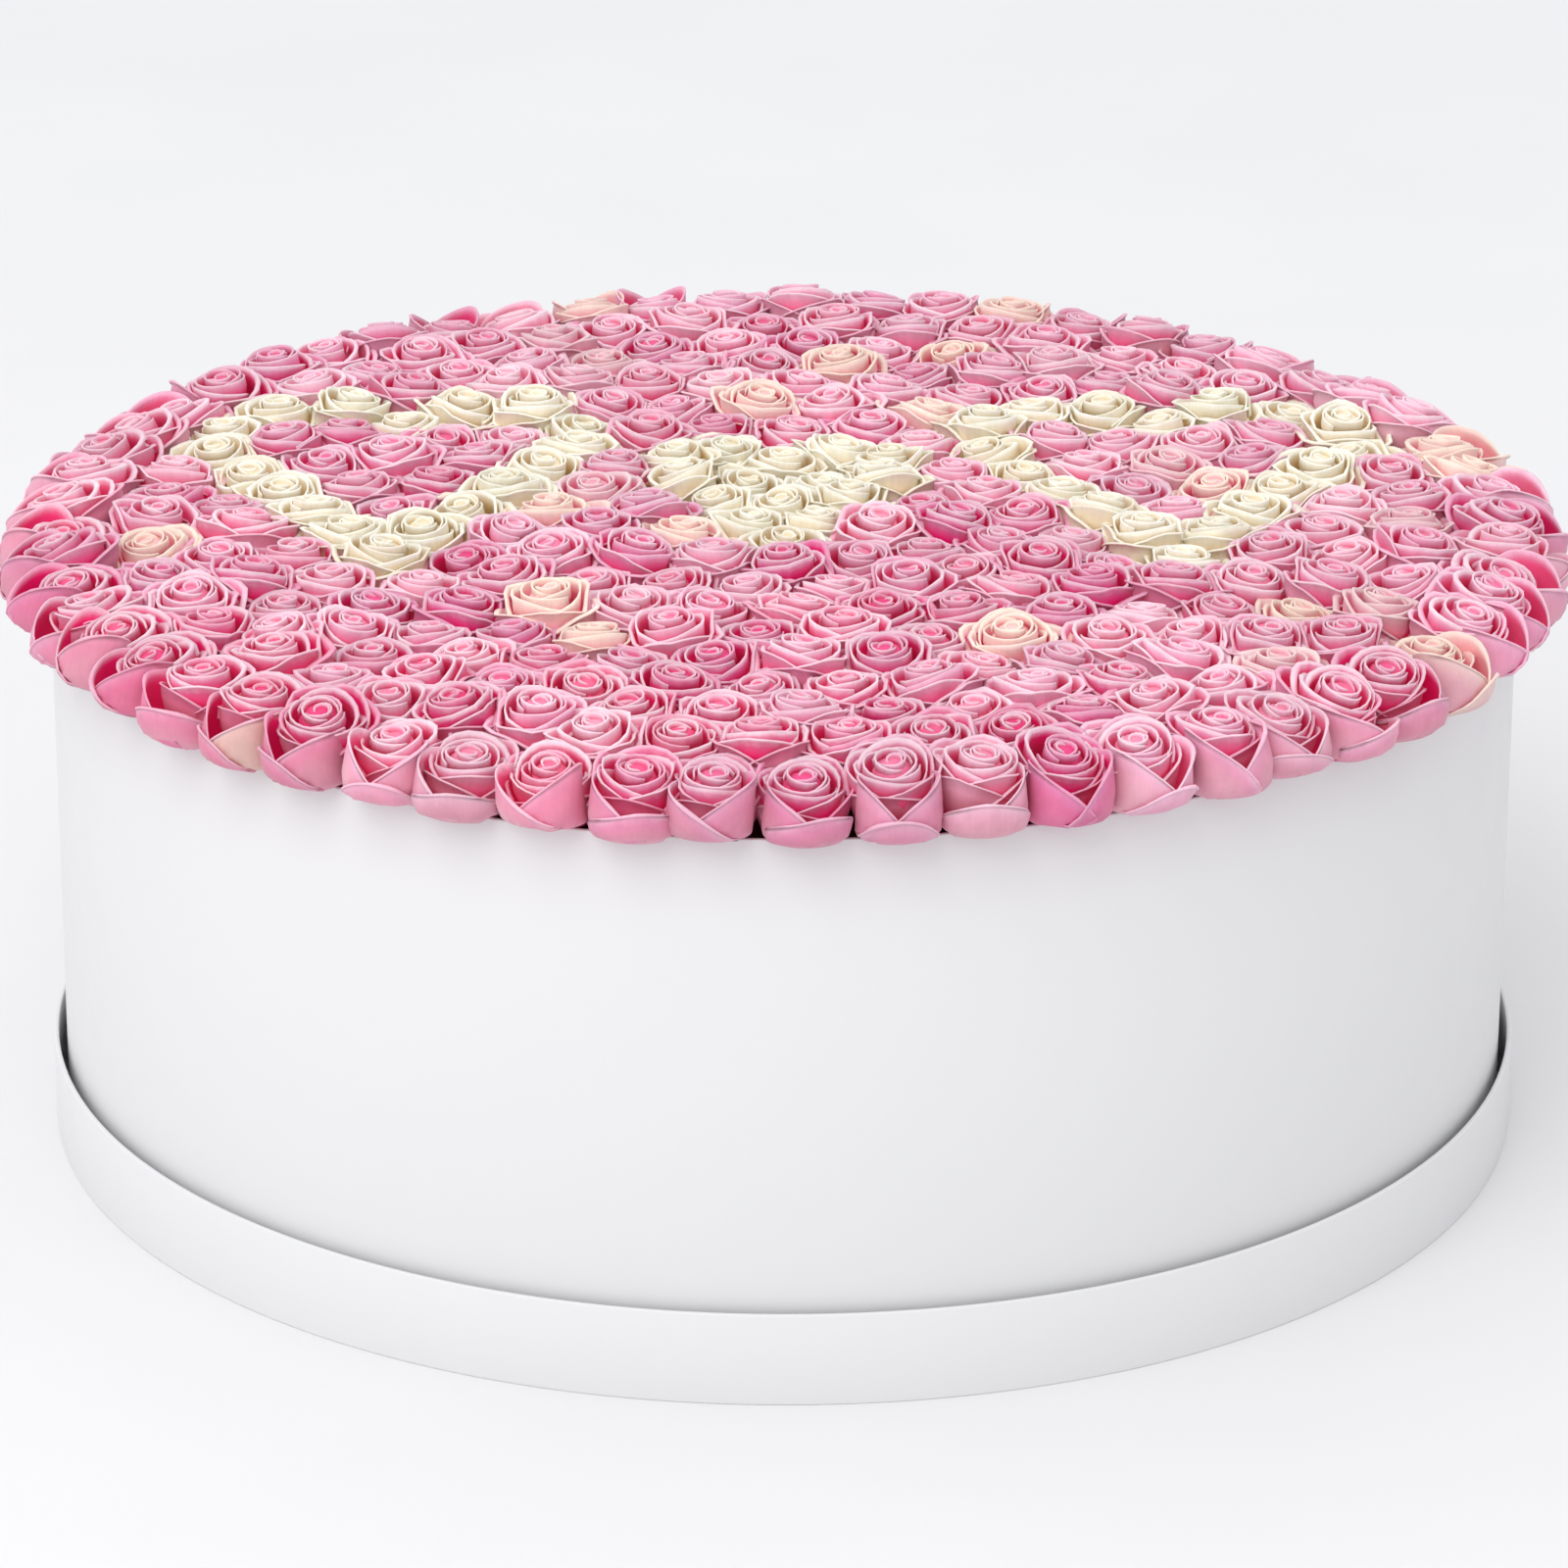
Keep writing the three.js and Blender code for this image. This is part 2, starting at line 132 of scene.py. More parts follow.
# Rows up a petal: share of its height, share of its reach, and how far it is below the lip
SHORT_ROWS = ((0, 0.9, 0.5), (0.8, 1, 0.1), (1, 1, 0))
MIDDLE_ROWS = ((0, 0.3, 0.7), (0.62, 0.94, 0.28), (0.93, 1, 0.07), (1, 1, 0))
OUTER_ROWS = ((0, 0, 1), (0.4, 0.72, 0.56), (0.78, 0.98, 0.25), (0.96, 1, 0.07), (1, 1, 0))
BUD_ROWS = ((0, 0.86, 0.6), (0.62, 1.03, 0.24), (0.93, 1, 0.05), (1, 1, 0))

# Layers of petals round the bud, in millimetres and degrees; heights are above the box's rim
Layer = namedtuple("Layer", "count radius height drop half_width roll root_radius root_height "
                            "cusp columns rows grade")
PETAL_LAYERS = (
    Layer(2, 17.0, 40.6, 8, 108, 0.5, 14.6, 24, 0.3, 12, SHORT_ROWS, 0.15),
    Layer(3, 19.6, 38.0, 11, 80, 1.6, 13, 12, 2.4, 11, MIDDLE_ROWS, 0.5),
    Layer(3, 22.5, 34.6, 13, 74, 2.7, 8, -3, 4.4, 12, OUTER_ROWS, 1.0),
)
BudLayer = namedtuple("BudLayer", "radius height columns rows")
BUD_LAYERS = (
    BudLayer(13.6, 41.3, 14, BUD_ROWS),
    BudLayer(11.0, 42.7, 13, BUD_ROWS[1:]),
    BudLayer(8.5, 43.5, 12, BUD_ROWS[1:]),
    BudLayer(6.1, 43.6, 10, BUD_ROWS[1:]),
    BudLayer(3.7, 42.9, 9, BUD_ROWS[1:]),
)
# Other sizes of the bud, the turn from each of its petals to the next, and its closed core
BUD_SIZES = (0.88, 1.02)
BUD_HALF_WIDTH = 142
BUD_ROOT_HEIGHT = 22
BUD_START_DROP = 2.6
BUD_END_DROP = 4.2
GOLDEN_TURN = 137.5
BUD_CORE_SIDES = 9
BUD_CORE_RADII = (12.2, 10, 7, 4)
BUD_CORE_TOPS = (18, 36, 39.2, 40.8)
# Calyx and stem, in millimetres
CALYX_SIDES = 7
CALYX_RADII = (4.2, 10)
CALYX_HEIGHT = 12
CALYX_MIDDLE = 2.5
CALYX_FOOT = 8
STEM_SIDES = 5
STEM_RADIUS = 2.0
STEM_DEPTH = 44.5

# How far petals stray either way from their layer or set, in millimetres and degrees, and the
# angles in radians at which the wave of a lip may start
PetalStray = namedtuple("PetalStray", "radius height drop tilt tip half_width turn")
PETAL_STRAY = PetalStray(0.6, 1.3, 2, 2, 0.3, 5, 13)
BudStray = namedtuple("BudStray", "middle height half_width turn")
BUD_STRAY = BudStray(0.35, 0.5, 14, 20)
GuardStray = namedtuple("GuardStray", "height tip set_turn own_turn slant")
GUARD_STRAY = GuardStray(1, 0.5, 15, 3, 7)
WAVE_START = (0, 6.3)
# The point in the middle of a lip: half its width, as a share of half the petal, and its sharpness
PETAL_TIP = (0.55, 1.4)
GUARD_TIP = (0.5, 1.3)
# Thickness beside that of a common petal
BUD_THICKNESS = 0.8
GUARD_THICKNESS = 1.2

# Guard petals cup a rim rose from outside and bulge over the rim. Each petal of a set: its turn
# and half width in degrees, how high its lip is at the left end, in the middle and at the right
# end, and how far it stands off from the one inside it
GuardPetal = namedtuple("GuardPetal", "turn half_width left top right loose")
GUARD_SETS = (
    ((-52, 84, 34, 38, 6, -0.6), (50, 84, 4, 37, 34, 0.8)),
    ((-56, 80, 34, 39, 10, -1.4), (54, 80, 10, 38, 34, -0.7), (2, 72, 6, 25, 7, 1.2)),
    ((54, 86, 12, 38, 34, -0.6), (-40, 86, 32, 30, 5, 0.8)),
    ((-46, 86, 34, 36, 12, -0.8), (24, 84, 16, 27, 14, 1.2)),
    ((-50, 84, 34, 39, 3, 0.7), (52, 84, 10, 38, 34, -0.6)),
    ((48, 86, 12, 37, 34, -0.8), (-24, 84, 14, 28, 17, 1.2)),
    ((-60, 76, 34, 40, 14, -1.4), (58, 76, 13, 39, 34, -0.7), (-16, 70, 12, 27, 6, 1.2)),
    ((-50, 86, 34, 37, 8, -0.6), (56, 82, 2, 40, 34, 0.8)),
)
# The cup they lie on: height, middle of the curve, its reach outwards and to the sides
GUARD_CUP = (
    (-3, 5, 7.5, 15), (1.2, 7.5, 8.5, 19), (2.4, 10, 9.5, 20.5), (5, 17, 17, 23),
    (9, 21.5, 22, 23.8), (15, 23.5, 24.3, 24.2), (22, 23.5, 23.5, 24), (30, 22, 21.5, 23.6),
    (38, 19.5, 19.5, 23), (46, 17, 17.5, 21.5),
)
# Rows up a guard petal: share of its height, and share of the lip's roll
GUARD_ROWS = (
    (0, 0), (0.12, 0), (0.2, 0), (0.33, 0), (0.55, 0), (0.76, 0.03), (0.9, 0.2), (0.98, 0.6),
    (1, 1),
)
GUARD_KINDS = 14
GUARD_ROOT_RISE = -3
GUARD_TIP_RISE = 1.6
GUARD_ROLL = 2.0
GUARD_COLUMNS = 16
GUARD_LIFT = (-4, 1.5)
# A guard petal slants from a height on, and sags past a reach and below a height
GUARD_SLANT_START = 8
GUARD_DROOP = (-1, 5)
DROOP_REACH = (20, 30)
DROOP_HEIGHT = (8, 26)
# Inside the guard petals the other petals of a rim rose are held in from a radius on
GUARD_HOLD = 0.6
GUARD_HOLD_START = 24
DEPTH_SCALE = 0.028

# Draws from 0 to 1 past which a rose is a paler pink or almost cream, and how pale roses are
BLUSH_FROM = 0.78
IVORY_FROM = 0.97
IVORY_PALENESS = 0.9
CREAM_PALENESS = 0.2
PALER_ALL = 0.03
PALER_AWAY = 0.26

# Material of the petals: its shades, the grades at which it turns to the calyx's green, and how
# closely the veins lie across and along a petal and how much they differ from petal to petal
# Of the shades, depth is partly painted shade low in the bloom and glow is a painted glow
PETAL_SHADES = ("lip", "face", "depth", "guard", "cool", "warm", "ivory", "aged", "glow")
GREEN_GRADES = (1.2, 1.8)
VEINS_ACROSS = 34.0
VEINS_ALONG = 2.5
VEINS_APART = 40.0

# Camera and light, in metres and radians: aim, place and width of the large light, and the small
# shift and roll of the camera
FLOOR_RADIUS = 20
LIGHT_PLACE = (-2.0, -4.25, 5.0)
LIGHT_AIM = (0, 0, 0.3)
LIGHT_WIDTH = 4.6
LIGHT_COLOUR = (1, 0.995, 0.985)
SKY_COLOUR = (0.96, 0.965, 0.98, 1)
SKY_LEFT = 1.08
SKY_RIGHT = 0.9
CAMERA_ASIDE = -0.0026
CAMERA_ROLL = -0.0019


class BoxSizes(bpy.types.PropertyGroup):
    """Sizes of the box and its lid"""

    body_radius: FloatProperty(
        name="Body radius", description="Outside of the box's wall",
        default=BODY_HIGH.x, unit="LENGTH")
    lid_radius: FloatProperty(
        name="Lid radius", description="Outside of the lid's wall",
        default=LID_HIGH.x, unit="LENGTH")
    board: FloatProperty(
        name="Board", description="Thickness of the wrapped board",
        default=0.003, unit="LENGTH")
    edge_rounding: FloatProperty(
        name="Edge rounding", description="Radius of the paper where it turns over an edge",
        default=0.0009, unit="LENGTH")
    sides: IntProperty(
        name="Sides", description="Straight pieces that make up each round wall", default=240)


class RoseSizes(bpy.types.PropertyGroup):
    """Sizes and variety of the roses"""

    petal_thickness: FloatProperty(
        name="Petal thickness", description="Thickness of a petal",
        default=0.0011, unit="LENGTH")
    bud_scale: FloatProperty(
        name="Bud size", description="Size of the bud beside the drawn one", default=1.0)
    lean: FloatProperty(
        name="Lean", description="How far the rim roses lean outwards",
        default=math.radians(13), subtype="ANGLE")
    height_wander: FloatProperty(
        name="Height wander", description="How unevenly high the roses stand",
        default=0.011, unit="LENGTH")
    kinds: IntProperty(
        name="Kinds", description="Different blooms that are shaped and then repeated", default=7)
    seed: IntProperty(name="Seed", description="Start of the roses' own draws", default=11)


def colour_property(name, description, red, green, blue):
    linear = tuple(((c / 255 + 0.055) / 1.055) ** 2.4 for c in (red, green, blue))
    return FloatVectorProperty(
        name=name, description=description, default=linear, subtype="COLOR", min=0, max=1)


class RoseColours(bpy.types.PropertyGroup):
    """Colours of the petals"""

    pink_lip: colour_property("Pink lip", "Rolled edge of a pink petal", 239, 214, 224)
    pink_face: colour_property("Pink face", "Upper part of a pink petal", 230, 150, 186)
    # Pink depth: partly the petals' own deeper base, partly painted shade in the recesses of the
    # bloom
    pink_depth: colour_property("Pink depth", "Pink petal deep in the bloom", 221, 32, 104)
    pink_guard: colour_property("Pink guard", "Outermost pink petals", 222, 168, 182)
    pink_cool: colour_property("Lilac pink", "Cooler pink of some roses", 232, 128, 188)
    pink_warm: colour_property("Blush pink", "Paler pink of some roses", 244, 172, 190)
    pink_ivory: colour_property("Ivory pink", "The few almost cream roses", 242, 230, 212)
    pink_aged: colour_property("Aged pink", "The few outer petals that turned", 226, 214, 188)
    cream_lip: colour_property("Cream lip", "Rolled edge of a cream petal", 243, 242, 232)
    cream_face: colour_property("Cream face", "Upper part of a cream petal", 241, 238, 221)
    # Cream depth: partly the petals' own warmer base, partly painted tan shade between the petals
    cream_depth: colour_property("Cream depth", "Cream petal deep in the bloom", 226, 208, 175)
    cream_guard: colour_property("Cream guard", "Outermost cream petals", 235, 223, 196)
    cream_cool: colour_property("Greenish cream", "Cooler cream of some roses", 232, 232, 206)
    cream_warm: colour_property("Peach cream", "Warmer cream of some roses", 239, 220, 191)
    cream_ivory: colour_property("Ivory cream", "The few palest roses", 239, 239, 230)
    cream_aged: colour_property("Aged cream", "The few outer petals that turned", 214, 170, 118)
    # Painted glow: emission low in the petals that lifts their shade, standing in for daylight
    # through them
    pink_glow: colour_property("Pink glow", "Daylight that comes through pink petals", 100, 6, 36)
    cream_glow: colour_property("Cream glow", "Daylight through cream petals", 84, 66, 40)
    calyx: colour_property("Calyx", "Green under the bloom", 92, 120, 62)


class BoardFinish(bpy.types.PropertyGroup):
    """Finish of the white board and the foam"""

    paper: colour_property("Paper", "Matt white paper on the board", 220, 220, 221)
    paper_roughness: FloatProperty(
        name="Paper roughness", description="How matt the paper is", default=0.46, min=0, max=1)
    foam: colour_property("Foam", "Flower foam", 66, 94, 62)


class StageSettings(bpy.types.PropertyGroup):
    """Camera, light and floor"""

    lens: FloatProperty(
        name="Lens", description="Focal length on a 36 mm sensor", default=159.75)
    camera_distance: FloatProperty(
        name="Distance", description="Camera in front of the box's middle",
        default=4.044, unit="LENGTH")
    camera_height: FloatProperty(
        name="Height", description="Camera above the floor", default=1.782, unit="LENGTH")
    camera_pitch: FloatProperty(
        name="Pitch", description="How far the camera looks down",
        default=math.radians(21.32), subtype="ANGLE")
    key_power: FloatProperty(
        name="Key light", description="Power of the large light at front left", default=146)
    sky_strength: FloatProperty(
        name="Sky", description="Strength of the even light from all round", default=1.1)
    floor: colour_property("Floor", "Plain pale floor", 227, 227, 228)


# Small helpers for modelling

def clear_selection():
    bpy.ops.object.select_all(action="DESELECT")


def select_only(objects):
    clear_selection()
    for piece in objects:
        piece.select_set(True)
    bpy.context.view_layer.objects.active = objects[0]


def join_pieces(parts):
    select_only(parts)
    bpy.ops.object.join()
    return bpy.context.object


def points_of(piece):
    """A piece's points, one a row."""
    points = np.empty(len(piece.data.vertices) * 3, np.float32)
    piece.data.vertices.foreach_get("co", points)
    return points.reshape(-1, 3).astype(float)


def move_points(piece, points):
    piece.data.vertices.foreach_set("co", np.asarray(points, np.float32).ravel())
    piece.data.update()


def select_faces(piece, wanted):
    """Selects, in edit mode, the faces that wanted says yes to."""
    bpy.ops.mesh.select_mode(type="FACE")
    bpy.ops.mesh.select_all(action="DESELECT")
    bpy.ops.object.mode_set(mode="OBJECT")
    for face in piece.data.polygons:
        face.select = bool(wanted(face))
    bpy.ops.object.mode_set(mode="EDIT")


def select_edges(piece, wanted):
    """Selects, in edit mode, the edges whose two ends wanted says yes to."""
    bpy.ops.mesh.select_mode(type="EDGE")
    bpy.ops.mesh.select_all(action="DESELECT")
    bpy.ops.object.mode_set(mode="OBJECT")
    points = piece.data.vertices
    for edge in piece.data.edges:
        first, second = (points[k].co for k in edge.vertices)
        edge.select = bool(wanted(first, second))
    bpy.ops.object.mode_set(mode="EDIT")


def start_shaping(wanted):
    """Fixes a new primitive at its place, and enters edit mode with the wanted faces selected."""
    piece = bpy.context.object
    bpy.ops.object.transform_apply(location=True, rotation=True, scale=True)
    bpy.ops.object.mode_set(mode="EDIT")
    select_faces(piece, wanted)
    return piece


def faces_up(face):
    return face.normal.z > 0.9


def faces_down(face):
    return face.normal.z < -0.9


def extrude_by(rise):
    bpy.ops.mesh.extrude_region_move(TRANSFORM_OT_translate={"value": (0, 0, rise)})


def resize_by(share):
    bpy.ops.transform.resize(value=(share, share, 1))


def finish_piece(piece, name, nodes, materials):
    """Names a piece, gives it its material and ties it to the part."""
    piece.name = name
    piece.data.name = name
    piece.data.materials.clear()
    for material in materials:
        piece.data.materials.append(material)
    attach(piece, "root")
    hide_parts(*nodes)


def smoothstep(low, high, value):
    share = np.clip((value - low) / (high - low), 0, 1)
    return share * share * (3 - 2 * share)


def turned(first, second, angle):
    """Two coordinates after a turn that brings the second towards the first."""
    cosine, sine = np.cos(angle), np.sin(angle)
    return first * cosine + second * sine, second * cosine - first * sine


def stray(chance, most):
    return chance.uniform(-most, most)


# Small helpers for materials

def new_material(name):
    material = bpy.data.materials.new(name)
    material.use_nodes = True
    tree = material.node_tree
    tree.nodes.clear()
    output = tree.nodes.new("ShaderNodeOutputMaterial")
    shader = tree.nodes.new("ShaderNodeBsdfPrincipled")
    tree.links.new(shader.outputs["BSDF"], output.inputs["Surface"])
    return material, tree, shader


def feed(tree, socket, value):
    """Links a socket, or sets a plain value."""
    if isinstance(value, bpy.types.NodeSocket):
        tree.links.new(value, socket)
    elif hasattr(value, "__len__") and socket.type == "RGBA" and len(value) == 3:
        socket.default_value = (*value, 1)
    else:
        socket.default_value = value


def feed_all(tree, node, values):
    """Feeds a node's sockets by their names."""
    for name, value in values.items():
        feed(tree, node.inputs[name], value)


def math_node(tree, operation, first, second=0.0):
    made = tree.nodes.new("ShaderNodeMath")
    made.operation = operation
    feed(tree, made.inputs[0], first)
    feed(tree, made.inputs[1], second)
    return made.outputs[0]


def product(tree, first, *others):
    """Any number of values multiplied together."""
    for other in others:
        first = math_node(tree, "MULTIPLY", first, other)
    return first


def opposite(tree, value):
    """One less the value."""
    return math_node(tree, "SUBTRACT", 1.0, value)


def spread_node(tree, value, low, high, to_low=0.0, to_high=1.0):
    """Maps low and high to two other values, with a soft change between them and none outside."""
    made = tree.nodes.new("ShaderNodeMapRange")
    made.interpolation_type = "SMOOTHSTEP"
    feed_all(tree, made, {
        "Value": value, "From Min": low, "From Max": high, "To Min": to_low, "To Max": to_high})
    return made.outputs["Result"]


def mix_node(tree, share, first, second):
    made = tree.nodes.new("ShaderNodeMix")
    made.data_type = "RGBA"
    feed(tree, made.inputs[0], share)
    feed(tree, made.inputs[6], first)
    feed(tree, made.inputs[7], second)
    return made.outputs[2]


def noise_node(tree, vector, scale, detail=3.0, roughness=0.5):
    made = tree.nodes.new("ShaderNodeTexNoise")
    feed_all(tree, made, {
        "Vector": vector, "Scale": scale, "Detail": detail, "Roughness": roughness})
    return made.outputs["Fac"]


def bump_node(tree, height, distance, strength, normal=None):
    made = tree.nodes.new("ShaderNodeBump")
    feed_all(tree, made, {"Distance": distance, "Strength": strength, "Height": height})
    if normal is not None:
        feed(tree, made.inputs["Normal"], normal)
    return made.outputs["Normal"]


def object_place(tree):
    return tree.nodes.new("ShaderNodeTexCoord").outputs["Object"]


def parts_of(tree, socket, kind="ShaderNodeSeparateXYZ"):
    made = tree.nodes.new(kind)
    tree.links.new(socket, made.inputs[0])
    return made.outputs


def attribute(tree, name):
    made = tree.nodes.new("ShaderNodeAttribute")
    made.attribute_name = name
    return parts_of(tree, made.outputs["Color"], "ShaderNodeSeparateColor")


# Board, lid and foam

def paper_material(finish):
    """Matt white paper: faint fibres, slight rubbing, and a seam where it overlaps at the back."""
    material, tree, shader = new_material("matt_white_paper")
    place = object_place(tree)
    clouds = noise_node(tree, place, 5.0, 2.0)
    fibres = noise_node(tree, place, 1400.0, 4.0, 0.65)
    rubbing = noise_node(tree, place, 38.0, 5.0, 0.6)
    tone = math_node(tree, "ADD", spread_node(tree, clouds, 0.3, 0.7, 0.975, 1.0),
                     spread_node(tree, fibres, 0.25, 0.75, -0.012, 0.012))
    paper = tuple(finish.paper)
    shade = mix_node(tree, tone, tuple(c * 0.8 for c in paper), paper)
    sideways, backwards = parts_of(tree, place)[:2]
    behind = spread_node(tree, backwards, 0.4, 0.41)
    past_seam = product(tree, spread_node(tree, sideways, -0.0002, 0.0002), behind)
    beside = math_node(tree, "ABSOLUTE", sideways)
    seam = product(tree, spread_node(tree, beside, 0.0003, 0.0011, 0.3, 0.0), behind)
    shade = mix_node(tree, seam, shade, tuple(c * 0.6 for c in paper))
    rough = finish.paper_roughness
    long_waves = bump_node(tree, clouds, 0.0012, 0.25)
    overlap = bump_node(tree, past_seam, 0.0002, 0.6, long_waves)
    feed_all(tree, shader, {
        "Base Color": shade,
        "Roughness": spread_node(tree, rubbing, 0.35, 0.7, rough - 0.05, rough + 0.07),
        "Normal": bump_node(tree, fibres, 0.00004, 0.35, overlap),
        "Specular IOR Level": 0.4,
    })
    return material


def foam_material(finish):
    """Flower foam: dark green, with painted shade in its fine open cells, paler where it was
    pressed.
    """
    material, tree, shader = new_material("flower_foam")
    place = object_place(tree)
    cells = tree.nodes.new("ShaderNodeTexVoronoi")
    feed_all(tree, cells, {"Vector": place, "Scale": 1700.0})
    patches = noise_node(tree, place, 24.0, 4.0)
    foam = tuple(finish.foam)
    pore_shade = spread_node(tree, cells.outputs["Distance"], 0.1, 0.6)
    shade = mix_node(tree, pore_shade, tuple(c * 0.35 for c in foam), foam)
    shade = mix_node(tree, spread_node(tree, patches, 0.4, 0.75, 0, 0.5), shade,
                     tuple(min(1, c * 1.7) for c in foam))
    feed_all(tree, shader, {
        "Base Color": shade,
        "Roughness": 0.95,
        "Normal": bump_node(tree, cells.outputs["Distance"], 0.0006, 0.8),
    })
    return material


def board_tray(radius, low, high, sizes):
    """A round tray of wrapped board: a solid disc whose top is inset, sunk and rounded off."""
    clear_selection()
    bpy.ops.mesh.primitive_cylinder_add(
        vertices=sizes.sides, radius=radius, depth=high - low, location=(0, 0, (low + high) / 2))
    tray = start_shaping(faces_up)
    bpy.ops.mesh.inset(thickness=sizes.board, use_boundary=True)
    extrude_by(-(high - low - sizes.board))
    near = sizes.board * 0.1

    def sharp(first, second):
        level = abs(first.z - second.z) < near
        outside = level and min(first.xy.length, second.xy.length) > radius - near
        rim = level and abs(first.z - high) < near
        return outside or rim

    select_edges(tray, sharp)
    bpy.ops.mesh.bevel(offset=sizes.edge_rounding, segments=3, affect="EDGES")
    bpy.ops.object.mode_set(mode="OBJECT")
    bpy.ops.object.shade_smooth_by_angle(angle=math.radians(35))
    return tray


def wrap_tray(context, name, node, radius, low, high):
    """A tray in its paper, in the place of one node of the part."""
    tray = board_tray(radius, low.z, high.z, context.scene.rose_box_sizes)
    paper = bpy.data.materials.get("matt_white_paper")
    if paper is None:
        paper = paper_material(context.scene.rose_box_board)
    finish_piece(tray, name, [node], [paper])


class ROSEBOX_OT_body(bpy.types.Operator):
    """Round wall and floor of the box"""

    bl_idname = "rosebox.body"
    bl_label = "Box body"

    def execute(self, context):
        radius = context.scene.rose_box_sizes.body_radius
        wrap_tray(context, "box_body_wrapped", "box_body", radius, BODY_LOW, BODY_HIGH)
        return {"FINISHED"}


class ROSEBOX_OT_lid(bpy.types.Operator):
    """Upturned lid that the box stands in"""

    bl_idname = "rosebox.lid"
    bl_label = "Lid"

    def execute(self, context):
        radius = context.scene.rose_box_sizes.lid_radius
        wrap_tray(context, "lid_wrapped", "lid", radius, LID_LOW, LID_HIGH)
        return {"FINISHED"}


class ROSEBOX_OT_foam(bpy.types.Operator):
    """Flower foam that holds the stems"""

    bl_idname = "rosebox.foam"
    bl_label = "Foam"

    def execute(self, context):
        foam = frame["nodes"]["foam_bed"]
        foam.data.materials.clear()
        foam.data.materials.append(foam_material(context.scene.rose_box_board))
        return {"FINISHED"}


# Where the roses stand

def seeded_draws(seed):
    state = seed
    while True:
        state = state * DRAW_FACTOR % DRAW_RANGE
        yield state / DRAW_RANGE


def heart_side(width, height):
    """Right side of a heart's outline, from its notch round the lobe to its tip."""
    radius = width * LOBE_SHARE
    middle = np.array([width / 2 - radius, height / 2 - radius])
    tip = np.array([0, -height / 2])
    to_tip = tip - middle
    start = math.acos(-middle[0] / radius)
    tip_angle = math.atan2(-to_tip[1], -to_tip[0]) + math.pi
    end = tip_angle + math.acos(radius / np.hypot(*to_tip)) - 2 * math.pi
    angles = np.linspace(start, end, LOBE_STEPS + 1)
    lobe = middle + radius * np.stack([np.cos(angles), np.sin(angles)], 1)
    return np.vstack([lobe, tip])


def even_steps(line, steps):
    lengths = np.concatenate([[0], np.cumsum(np.hypot(*np.diff(line, axis=0).T))])
    along = np.linspace(0, lengths[-1], steps + 1)
    return np.stack([np.interp(along, lengths, line[:, k]) for k in (0, 1)], 1)


def heart_roses(heart):
    side = even_steps(heart_side(heart.width, heart.height), heart.steps)
    points = [*side, *(side[1:-1] * (-1, 1))]
    for k in range(CORE_ROSES if heart.full else 0):
        angle = 2 * math.pi * k / CORE_ROSES - math.pi / 2
        y = CORE_RISE + CORE_RADIUS * math.sin(angle)
        points.append(np.array([CORE_RADIUS * math.cos(angle), y]))
    return np.array(points) + (heart.x, heart.y)


def filling_roses(fixed, draw):
    """Rows of roses, shaken a little, wherever nothing else stands."""
    row_step = ROSE_PITCH * math.sqrt(3) / 2
    rows = math.ceil(RIM_RING_RADIUS / row_step)
    columns = math.ceil(RIM_RING_RADIUS / ROSE_PITCH) + 1
    kept = []
    for row in range(-rows, rows + 1):
        for column in range(-columns, columns + 1):
            shift = 0.25 + abs(row) % 2 / 2
            x = (column + shift + (next(draw) - 0.5) * FIRST_WANDER) * ROSE_PITCH
            y = row * row_step + (next(draw) - 0.5) * FIRST_WANDER * ROSE_PITCH
            nearest = np.hypot(*(fixed - (x, y)).T).min()
            inside = math.hypot(x, y) < RIM_RING_RADIUS - NEAREST_SHARE * ROSE_PITCH
            if inside and nearest > NEAREST_SHARE * ROSE_PITCH:
                kept.append((x, y))
    return np.array(kept)


def push_apart(filling, fixed):
    """Moves the filling roses apart until they sit evenly."""
    reach = PUSH_REACH * ROSE_PITCH
    limit = RIM_RING_RADIUS - RING_MARGIN * ROSE_PITCH
    for _ in range(PUSH_ROUNDS):
        apart = filling[:, None] - np.vstack([fixed, filling])[None]
        distance = np.hypot(apart[..., 0], apart[..., 1])
        near = (distance > 0) & (distance <= reach)
        push = np.where(near, PUSH_SHARE * ROSE_PITCH * (1 - distance / reach) ** 2, 0)
        away = apart / np.where(near, distance, 1)[..., None]
        filling = filling + (away * push[..., None]).sum(1)
        back = np.minimum(1, limit / np.hypot(*filling.T))
        filling = filling * back[:, None]
    return filling


def rose_places():
    draw = seeded_draws(LAYOUT_SEED)
    turns = np.arange(RIM_ROSES) * 2 * math.pi / RIM_ROSES
    turns = turns + [(next(draw) - 0.5) * RIM_WANDER for _ in turns]
    ring = RIM_RING_RADIUS * np.stack([np.cos(turns), np.sin(turns)], 1)
    fixed = np.vstack([ring, *(heart_roses(heart) for heart in HEARTS)])
    return np.vstack([fixed, push_apart(filling_roses(fixed, draw), fixed)])


def reaches(places):
    """How far each rose may spread in each direction before it meets its neighbours."""
    ring = places[:RIM_ROSES]
    between = ring + np.roll(ring, -1, 0)
    ghosts = GHOST_RADIUS * between / np.hypot(*between.T)[:, None]
    apart = np.vstack([places, ghosts])[None] - places[:, None]
    distance = np.hypot(apart[..., 0], apart[..., 1])
    angles = np.arange(REACH_DIRECTIONS) * 2 * math.pi / REACH_DIRECTIONS
    ways = np.stack([np.cos(angles), np.sin(angles)])
    towards = apart @ ways
    with np.errstate(divide="ignore", invalid="ignore"):
        reach = distance[..., None] ** 2 / 2 / towards
    reach[~(towards > 1e-6)] = np.inf
    return reach.min(1)


